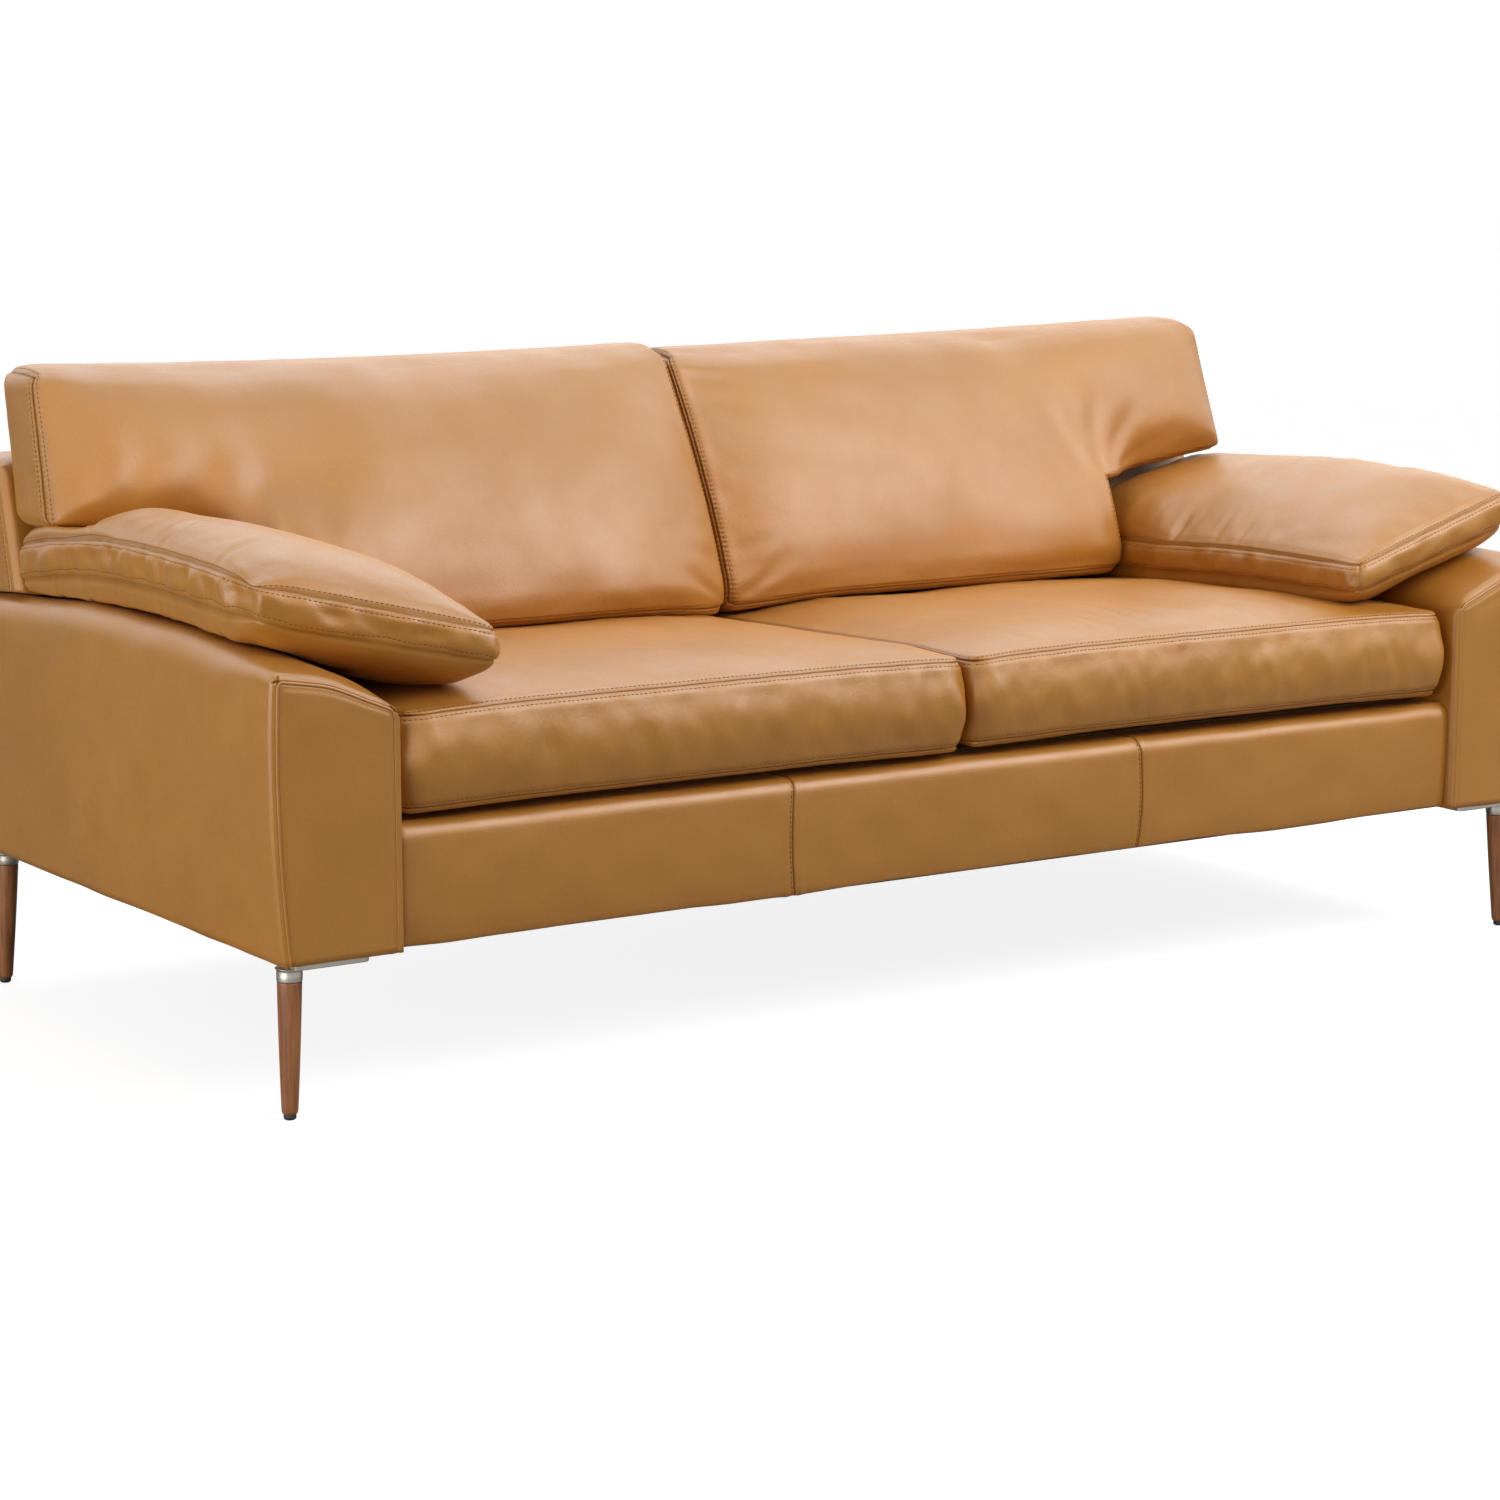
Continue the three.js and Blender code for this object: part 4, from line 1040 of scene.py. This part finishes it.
# ---- arms ----------------------------------------------------------------------------------------
ARM_LOW, ARM_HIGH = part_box("arm_cover_right")
ARM_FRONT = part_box("arm_facing_right")[0].y
ARM_WAIST_Z = 0.421  # Height at which the arm's outer side stands out furthest
ARM_WALL = 14 * MM
RIM = 8.5 * MM
FACING_THICK = 11 * MM
FACING_GAP = 0.4 * MM


def arm_shape(flat):
    """Moves an upright block as wide and long as an arm into the arm's shape."""
    inner, outer, knee = ARM["inner_x"], HALF_WIDTH, ARM["knee_z"]
    soft = smooth(flat[:, 1], ARM_FRONT, ARM_FRONT + 0.16)
    wide, tall = lerp(14 * MM, 38 * MM, soft), lerp(14 * MM, 34 * MM, soft)
    points = round_edge(flat, (0, 2), (outer, knee), (wide, tall))
    points = round_edge(points, (0, 2), (inner, knee), (-36 * MM, 32 * MM))
    for y, radius in ((ARM_FRONT, -9 * MM), (ARM_HIGH.y, 16 * MM)):
        points = round_edge(points, (1, 2), (y, knee), (radius, abs(radius)))
        for x, sign in ((inner, -1), (outer, 1)):
            points = round_edge(points, (0, 1), (x, y), (sign * abs(radius), radius))
    x, y, z = points.T
    lifted = smooth(z, 0.30, knee + 15 * MM) / smooth(knee, 0.30, knee + 15 * MM)
    points[:, 2] += lifted * (arm_rise(x) + arm_crown(y))
    outward = (x - inner) / (outer - inner)
    below, above = np.clip((ARM_WAIST_Z - z) / 0.232, 0, 1), np.clip((z - ARM_WAIST_Z) / 0.093, 0, 1)
    points[:, 0] += outward * (2 * MM - 13 * MM * below**2 - 3 * MM * above**2)
    return points


def arm_cover(side_name):
    """Leather cover of an arm, with a rim that folds round onto the front and frames the facing."""
    side = SIDES[side_name]
    inner, outer, knee = ARM["inner_x"], HALF_WIDTH, ARM["knee_z"]
    foot, rear = ARM_LOW.z, ARM_HIGH.y
    lines = [
        rows(inner, outer, 8 * MM, (inner + RIM, outer - RIM), (inner + ARM_WALL, outer - ARM_WALL)),
        rows(ARM_FRONT, rear, 9 * MM, (ARM_FRONT,), (ARM_FRONT + FACING_THICK + 1 * MM, rear - ARM_WALL)),
        rows(foot, knee, 8 * MM, (knee - RIM,), (knee - ARM_WALL,)),
    ]
    recess = ((inner + RIM, -1, 0), (outer - RIM, ARM_FRONT + FACING_THICK + 1 * MM, knee - RIM))
    hollow = ((inner + ARM_WALL, -1, 0), (outer - ARM_WALL, rear - ARM_WALL, knee - ARM_WALL))
    skin = Skin(lines, (recess, hollow))
    points = arm_shape(skin.flat)
    x, y, z = skin.flat.T
    rim = np.minimum(np.minimum(np.abs(x - inner - RIM), np.abs(outer - RIM - x)), np.abs(z - knee + RIM))
    gap = np.where(y < ARM_FRONT + HAIR, rim, FAR)
    outside = (x < inner + HAIR) | (x > outer - HAIR) | (z > knee - HAIR) | (y > rear - HAIR)
    away = smooth(y - ARM_FRONT, 5 * MM, 60 * MM)
    wave = (1.1 * ripple(points, 0.34, 300 + side) + 0.35 * ripple(points, 0.1, 310 + side)) * MM
    dip = seam_dip(gap, 2 * MM)
    points += skin.normals(points) * (dip + np.where(outside, wave * away, 0))[:, None]
    hide(f"arm_cover_{side_name}_leather", skin, points, dip, 0.12, side, f"arm_cover_{side_name}")


def arm_facing(side_name):
    """Padded panel that closes the front of an arm inside the rim, and the piping around it."""
    side = SIDES[side_name]
    inner, outer = ARM["inner_x"] + RIM + FACING_GAP, HALF_WIDTH - RIM - FACING_GAP
    top, foot = ARM["knee_z"] - RIM - FACING_GAP, ARM_LOW.z + 0.5 * MM
    lines = [rows(inner, outer, 8 * MM, (inner, outer)),
             rows(ARM_FRONT, ARM_FRONT + FACING_THICK, 4 * MM, (ARM_FRONT,)), rows(foot, top, 8 * MM, (top,))]
    skin = Skin(lines)
    flat = skin.flat.copy()
    x, y, z = skin.flat.T
    face = y < ARM_FRONT + HAIR
    gap = np.minimum(np.minimum(x - inner, outer - x), top - z)
    across = 2 * (x - inner) / (outer - inner) - 1
    flat[:, 1] -= np.where(face, 2.2 * MM * (1 - across**4) * smooth(gap, 0, 30 * MM), 0)
    for corner, radius in (((inner, top), -6 * MM), ((outer, top), 6 * MM)):
        flat = round_edge(flat, (0, 2), corner, (radius, 6 * MM))
    points = arm_shape(flat)
    points[:, 1] = np.where(face, flat[:, 1], points[:, 1])
    dip = np.where(face, seam_dip(gap, 2 * MM), 0)
    wave = np.where(face, 0.6 * MM * ripple(points, 0.16, 320 + side), 0) * smooth(gap, 0, 30 * MM)
    points += skin.normals(points) * (dip + wave)[:, None]
    hide(f"arm_facing_{side_name}_leather", skin, points, dip, 0.12, side, f"arm_facing_{side_name}")
    corners = [(inner, foot + 1 * MM), (inner, top), (outer, top), (outer, foot + 1 * MM)]
    path = arm_shape(upright_line(corners, 7 * MM, ARM_FRONT))
    path[:, 1] = ARM_FRONT + 0.6 * MM
    piping(f"arm_piping_{side_name}", path, side)


def eased_corner(before, corner, after, radius, steps):
    """Points of a curve that cuts a corner, from radius before it to radius after it."""
    before, corner, after = (np.array(point, float) for point in (before, corner, after))
    start = corner + (before - corner) / np.linalg.norm(before - corner) * radius
    end = corner + (after - corner) / np.linalg.norm(after - corner) * radius
    return [(1 - t) ** 2 * start + 2 * t * (1 - t) * corner + t * t * end for t in np.linspace(0, 1, steps)]


def upright_line(corners, radius, y, step=4 * MM):
    """Points along an open line of (x, z) corners in the upright plane at y, its corners rounded."""
    line = [np.array(corners[0])]
    for before, corner, after in zip(corners, corners[1:], corners[2:]):
        line.extend(eased_corner(before, corner, after, radius, 9))
    line.append(np.array(corners[-1]))
    points = []
    for a, b in zip(line, line[1:]):
        count = max(1, round(np.linalg.norm(b - a) / step))
        points.extend(lerp(a, b, i / count) for i in range(count))
    return np.array([(x, y, z) for x, z in points + [line[-1]]])


def piping(name, path, side, radius=2.1 * MM, sides=10):
    """A closed round tube of leather along a path."""
    ahead = np.gradient(path, axis=0)
    ahead /= np.linalg.norm(ahead, axis=1)[:, None]
    across = np.cross(ahead, (0.0, -1.0, 0.02))
    across /= np.linalg.norm(across, axis=1)[:, None]
    over = np.cross(across, ahead)
    turn = (2 * math.pi * np.arange(sides) / sides)[None, :, None]
    around = radius * (np.cos(turn) * across[:, None] + np.sin(turn) * over[:, None])
    points = np.vstack([(path[:, None] + around).reshape(-1, 3), path[0], path[-1]])
    last = (len(path) - 1) * sides
    start, end = len(points) - 2, len(points) - 1
    faces = []
    for i, k in itertools.product(range(len(path) - 1), range(sides)):
        here, beside = i * sides + k, i * sides + (k + 1) % sides
        faces.append([here, beside, beside + sides, here + sides])
    faces.extend([start, (k + 1) % sides, k] for k in range(sides))
    faces.extend([end, last + k, last + (k + 1) % sides] for k in range(sides))
    piece(name, points, faces, side, FRAME_BODY, "leather")


# ---- front rail ----------------------------------------------------------------------------------
def front_rail_cover():
    """Leather over the front rail, in three panels sewn edge to edge."""
    low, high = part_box("front_rail_cover")
    wall = 12 * MM
    seams = (-0.277, 0.280)
    skin = Skin([rows(low.x, high.x, 10 * MM, seams), rows(low.y, high.y, 6 * MM, marks=(low.y + wall,)),
                 rows(low.z, high.z, 6 * MM, marks=(low.z + wall, high.z - wall))],
                [((-2, low.y + wall, low.z + wall), (2, 2, high.z - wall))])
    x, y, z = skin.flat.T
    points = round_edge(skin.flat, (1, 2), (low.y, high.z), (-18 * MM, 18 * MM))
    points = round_edge(points, (1, 2), (low.y, low.z), (-5 * MM, -5 * MM))
    level = (z - low.z) / (high.z - low.z)
    gap = np.min([np.abs(x - seam) for seam in seams], axis=0)
    outside = (y < low.y + HAIR) | (z > high.z - HAIR) | (z < low.z + HAIR)
    for seam in seams:
        points[:, 0] += math.copysign(5 * MM, seam) * bell(x - seam, 0.09) * (4 * level * (1 - level) - 0.5)
    dip = np.where(outside, seam_dip(gap, 1.8 * MM), 0)
    wave = (0.9 * ripple(points, 0.4, 400, (1, 1, 0.6)) + 0.3 * ripple(points, 0.09, 401)) * MM
    hem = -1.2 * MM * smooth(level, 0.2, 0) + 2 * MM * 4 * level * (1 - level)
    points += skin.normals(points) * (dip + np.where(outside & (y < low.y + 20 * MM), wave + hem, 0))[:, None]
    hide("front_rail_leather", skin, points, dip, 0.15, 1, "front_rail_cover")
    routes = [[(seam - 3.8 * MM, low.y, low.z + 3 * MM), (seam - 3.8 * MM, low.y, high.z)] for seam in seams]
    stitching("front_rail_stitching", skin, points, routes, 1, FRAME_BODY)


# ---- back ----------------------------------------------------------------------------------------
def back_cover():
    """Padded back: it leans between the arms and its wings lie over them."""
    low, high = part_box("back_cover")
    rear, wing_z, ledge, body = high.y, 0.535, 0.330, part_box("front_rail_cover")[1].x
    thick, wall = 0.16, 10 * MM
    foot_y, border = 0.122, 14 * MM
    end = high.x
    walls = (-body, body, wall - end, end - wall, wall - body, body - wall)
    skin = Skin(
        [rows(-end, end, 12 * MM, (-end, end), walls),
         rows(0, thick, 8 * MM, (border, thick), (wall, foot_y, foot_y + wall, thick - wall)),
         rows(low.z, high.z, 9 * MM, (high.z,), (wing_z, wing_z + wall, ledge, ledge + wall, high.z - wall))],
        [((body, -1, 0), (2, 1, wing_z)), ((-2, -1, 0), (-body, 1, wing_z)),
         ((-2, -1, 0), (2, foot_y, ledge)),
         ((wall - body, wall, ledge + wall), (body - wall, thick - wall, high.z - wall)),
         ((wall - end, wall, wing_z + wall), (end - wall, thick - wall, high.z - wall)),
         ((wall - body, foot_y + wall, 0), (body - wall, thick - wall, ledge + 2 * wall))])
    x, y, z = skin.flat.T
    points = skin.flat
    for sign in (-1, 1):
        points = round_edge(points, (0, 2), (sign * end, high.z), (sign * 22 * MM, 22 * MM))
        points = round_edge(points, (0, 1), (sign * end, 0), (sign * 12 * MM, -18 * MM))
        points = round_edge(points, (0, 1), (sign * end, thick), (sign * 12 * MM, 18 * MM))
    points = round_edge(points, (1, 2), (0, high.z), (-34 * MM, 24 * MM))
    points = round_edge(points, (1, 2), (thick, high.z), (30 * MM, 20 * MM))

    def leaned(height, share):
        return rear - (1 - share / thick) * (rear - back_front(np.maximum(height, ledge)))
    over_arm = smooth(np.abs(points[:, 0]), body - 20 * MM, body + 2 * MM)
    tent = np.clip((high.z - points[:, 2]) / (high.z - wing_z), 0, 1)
    tent = tent * np.clip((points[:, 2] - ledge) / (wing_z - ledge), 0, 1)
    arm_x = np.maximum(np.abs(points[:, 0]), ARM["inner_x"])
    rest = arm_top(arm_x, leaned(points[:, 2], points[:, 1])) + 1.5 * MM - wing_z
    points[:, 2] += over_arm * tent * rest
    share = points[:, 1].copy()
    points[:, 1] = leaned(points[:, 2], share)
    at_end = np.abs(x) > end - HAIR
    dip = np.where(at_end, seam_dip(np.abs(y - border), 1.8 * MM), 0)
    outside = at_end | (y < HAIR) | (y > thick - HAIR) | (z > high.z - HAIR)
    wave = (1.0 * ripple(points, 0.36, 500) + 0.35 * ripple(points, 0.1, 501)) * MM
    points += skin.normals(points) * (dip + np.where(outside & (share < thick - HAIR), wave, 0))[:, None]
    hide("back_leather", skin, points, dip, 0.15, 1, "back_cover")
    row = border + 4.5 * MM
    routes = [[(sign * end, row, wing_z + 4 * MM), (sign * end, row, high.z - 4 * MM)] for sign in (-1, 1)]
    stitching("back_stitching", skin, points, routes, 1, FRAME_BODY)


def back_outer_panel():
    """Outside back: one flat hide, piped along its sides and top."""
    low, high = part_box("back_outer_panel")
    skin = Skin([rows(low.x, high.x, 12 * MM, (low.x, high.x)), rows(low.y, high.y, 3 * MM, (high.y,)),
                 rows(low.z, high.z, 10 * MM, (high.z,))])
    x, y, z = skin.flat.T
    points = skin.flat.copy()
    for sign, edge in ((-1, low.x), (1, high.x)):
        points = round_edge(points, (0, 2), (edge, high.z), (sign * 12 * MM, 12 * MM))
    face = y > high.y - HAIR
    gap = np.minimum(np.minimum(x - low.x, high.x - x), high.z - z)
    dip = np.where(face, seam_dip(gap, 2 * MM), 0)
    wave = np.where(face, (0.8 * ripple(points, 0.4, 520) + 0.25 * ripple(points, 0.11, 521)) * MM, 0)
    points += skin.normals(points) * (dip + wave * smooth(gap, 0, 60 * MM))[:, None]
    hide("back_outer_leather", skin, points, dip, 0.12, 1, "back_outer_panel")
    corners = [(low.x, low.z), (low.x, high.z), (high.x, high.z), (high.x, low.z)]
    piping("back_piping", upright_line(corners, 12 * MM, high.y - 1.6 * MM, 8 * MM), 1)


# ---- legs ----------------------------------------------------------------------------------------
class Axis:
    """The leaning axis of a leg, from its glide and its bolt."""

    def __init__(self, corner):
        glide, bolt = (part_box(f"{kind}_{corner}") for kind in ("glide", "hanger_bolt"))
        self.foot = Vector(((glide[0].x + glide[1].x) / 2, (glide[0].y + glide[1].y) / 2, 3.5 * MM))
        head = sum(bolt, Vector()) / 2
        self.lean = (head - self.foot) / (head.z - self.foot.z)

    def at(self, height):
        return self.foot + self.lean * (height - self.foot.z)


def turned(name, corner, profile, look, replaces=(), segments=64):
    """A piece turned about a leg's axis from (radius, height) pairs, its ends level."""
    axis = Axis(corner)
    points, faces = [], []
    turn = 2 * math.pi * np.arange(segments) / segments
    for radius, height in profile:
        centre = axis.at(height)
        points.extend((centre.x + radius * math.cos(t), centre.y + radius * math.sin(t), height)
                      for t in turn)
    for i, k in itertools.product(range(len(profile) - 1), range(segments)):
        a, b = i * segments + k, i * segments + (k + 1) % segments
        faces.append((a, b, b + segments, a + segments))
    last = (len(profile) - 1) * segments
    faces.append(tuple(range(segments))[::-1])
    faces.append(tuple(range(last, last + segments)))
    piece(name, points, faces, 1, FRAME_BODY, look, replaces, smooth_sizes=(4,))


def eased(points, radius, steps=4):
    """A turning profile with its inner corners eased, by less where its lines are short."""
    points = [np.array(point, float) for point in points]
    line = [points[0]]
    for before, corner, after in zip(points, points[1:], points[2:]):
        reach = min(radius, 0.45 * np.linalg.norm(before - corner), 0.45 * np.linalg.norm(after - corner))
        line.extend(eased_corner(before, corner, after, reach, steps))
    return line + [points[-1]]


def leg(corner):
    low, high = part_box(f"leg_{corner}")
    foot_radius, top_radius, bulge = 9.8 * MM, 14.7 * MM, 0.45 * MM
    shaft = [(lerp(foot_radius, top_radius, t) + bulge * math.sin(math.pi * t), lerp(low.z, high.z, t))
             for t in np.linspace(0.02, 0.995, 14)]
    foot = [(1 * MM, low.z), (foot_radius - 1 * MM, low.z)]
    top = [(top_radius - 0.6 * MM, high.z), (1 * MM, high.z)]
    turned(f"leg_{corner}_walnut", corner, eased(foot + shaft + top, 0.6 * MM), "walnut", [f"leg_{corner}"])


def glide(corner):
    radius, height, chamfer, bore = 7.6 * MM, 7 * MM, 2 * MM, 0.5 * MM
    profile = [(bore, 0), (radius - chamfer, 0), (radius, chamfer), (radius, height), (bore, height)]
    turned(f"glide_{corner}_nylon", corner, eased(profile, 0.7 * MM), "plastic", [f"glide_{corner}"], 40)


PLATE = {"thick": 9.5 * MM, "reach": 94 * MM, "outer": 24 * MM, "inner": 14 * MM, "side_out": 4 * MM,
         "side_in": 24 * MM, "chamfer": 1.2 * MM, "inner_round": 3 * MM, "outer_round": 9 * MM}
COLLAR = {"radius": 15.4 * MM, "bore": 4.6 * MM, "flare": 2.2 * MM}


def leg_collar(corner, foot, top):
    """Turned collar of a bracket, flaring into the plate above it."""
    radius, bore, lip = COLLAR["radius"], COLLAR["bore"], top + 0.6 * MM
    profile = [(bore, foot), (radius - 0.4 * MM, foot), (radius, foot + 6 * MM),
               (radius - 0.2 * MM, top - 2 * MM), (radius + COLLAR["flare"], lip), (bore, lip)]
    turned(f"leg_collar_{corner}", corner, eased(profile, 1.4 * MM, 6), "aluminium")


def plate_outline():
    """Outline of the L-shaped plate around the leg's axis, for the right-hand rear corner."""
    reach, outer, inner = PLATE["reach"], PLATE["outer"], PLATE["inner"]
    out, back = PLATE["side_out"], PLATE["side_in"]
    corners = [(out, outer), (-reach, outer), (-reach, -inner),
               (-back, -inner), (-back, -reach), (out, -reach)]
    loop = []
    for i, corner in enumerate(corners):
        radius = PLATE["inner_round" if i in (0, 3) else "outer_round"]
        loop.extend(eased_corner(corners[i - 1], corner, corners[(i + 1) % len(corners)], radius, 7))
    return np.array(loop)


def leg_bracket(corner):
    """Cast bracket: a turned collar under a flat plate with a chamfered lower edge."""
    low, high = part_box(f"leg_bracket_{corner}")
    axis = Axis(corner)
    foot = high.z - PLATE["thick"]
    leg_collar(corner, low.z, foot)
    sign = (math.copysign(1, axis.foot.x), math.copysign(1, axis.foot.y))
    head = axis.at(high.z)
    loop = plate_outline() * sign + np.array((head.x, head.y))
    ahead = np.roll(loop, -1, 0) - np.roll(loop, 1, 0)
    ahead /= np.linalg.norm(ahead, axis=1)[:, None]
    inward = np.stack([-ahead[:, 1], ahead[:, 0]], 1) * sign[0] * sign[1]
    chamfer, size = PLATE["chamfer"], len(loop)
    points, faces = [], []
    for height, inset in ((foot, chamfer), (foot + chamfer, 0), (high.z, 0)):
        points.extend((x, y, height) for x, y in loop + inward * inset)
    for i, k in itertools.product((0, 1), range(size)):
        a, b = i * size + k, i * size + (k + 1) % size
        faces.append((a, b, b + size, a + size))
    faces.append(tuple(range(size))[::-1])
    faces.append(tuple(range(2 * size, 3 * size)))
    if sign[0] * sign[1] < 0:
        faces = [face[::-1] for face in faces]
    piece(f"leg_plate_{corner}", points, faces, 1, FRAME_BODY, "aluminium", [f"leg_bracket_{corner}"], ())


for side_name in SIDES:
    arm_cover(side_name)
    arm_facing(side_name)
front_rail_cover()
back_cover()
back_outer_panel()
for corner in ("front_right", "front_left", "rear_right", "rear_left"):
    leg(corner)
    glide(corner)
    leg_bracket(corner)


# ---- stage, light and camera ---------------------------------------------------------------------
def floor():
    """A pale floor, lifted to white for the camera only."""
    size = 30
    corners = [(-size, -size, 0), (size, -size, 0), (size, size, 0), (-size, size, 0)]
    plane = new_object("floor", corners, [(0, 1, 2, 3)], ())
    g = Graph("floor_paint", Base_Color=(0.5, 0.5, 0.5, 1), Roughness=0.9, Specular_IOR_Level=0.1,
              Emission_Color=(1, 1, 1, 1))
    seen = g.add("ShaderNodeLightPath").outputs["Is Camera Ray"]
    g.wire(g.shader, {"Emission Strength": g.math("MULTIPLY", seen, 0.84)})
    plane.data.materials.append(g.material)


def softbox(name, place, target, size, power):
    data = bpy.data.lights.new(name, "AREA")
    data.shape = "RECTANGLE"
    data.size, data.size_y = size
    data.energy = power
    lamp = bpy.data.objects.new(name, data)
    bpy.context.scene.collection.objects.link(lamp)
    lamp.location = place
    lamp.rotation_euler = (Vector(target) - Vector(place)).to_track_quat("-Z", "Y").to_euler()


def studio():
    """White surroundings: dim for matt light, brighter overhead and in front where they are mirrored."""
    world = bpy.data.worlds.new("studio")
    world.use_nodes = True
    g = Nodes(world.node_tree)
    backdrop = g.tree.nodes["Background"]
    seen = g.add("ShaderNodeLightPath").outputs
    place = g.add("ShaderNodeTexCoord").outputs["Generated"]
    way = g.add("ShaderNodeSeparateXYZ", {"Vector": place}).outputs
    front = g.fit(way["Y"], -0.8, 0.6, 1.4, 0.85)
    sky = g.fit(way["Z"], -0.1, 0.42, 0.3, 2.7)
    mirrored = g.fit(seen["Is Glossy Ray"], 0, 1, 0.14, g.math("MULTIPLY", front, sky))
    shown = g.fit(seen["Is Camera Ray"], 0, 1, mirrored, 1.05)
    g.wire(backdrop, {"Color": (1, 1, 1, 1), "Strength": shown})
    bpy.context.scene.world = world
    softbox("key", (1.7, -2.4, 2.8), (0.05, 0, 0.5), (2.6, 2.2), 91)
    softbox("top", (0.3, 1.4, 3.1), (-0.2, 0, 0.5), (3.0, 1.6), 22)
    softbox("fill", (-3.6, -0.8, 0.5), (-0.9, 0, 0.4), (2.4, 0.8), 47)
    bpy.context.scene.view_settings.view_transform = "Standard"


CAMERA = {"place": (-2.8722, -4.2615, 1.149), "down": 9.5294, "turn": -33.5515, "lens": 90.457}


def camera():
    """The photo's viewpoint, to the left of straight ahead and looking down."""
    data = bpy.data.cameras.new("camera")
    data.lens, data.sensor_width = CAMERA["lens"], 36
    data.clip_end = 100
    eye = bpy.data.objects.new("camera", data)
    bpy.context.scene.collection.objects.link(eye)
    eye.location = CAMERA["place"]
    eye.rotation_euler = (math.radians(90 - CAMERA["down"]), 0, math.radians(CAMERA["turn"]))
    bpy.context.scene.camera = eye


floor()
studio()
camera()
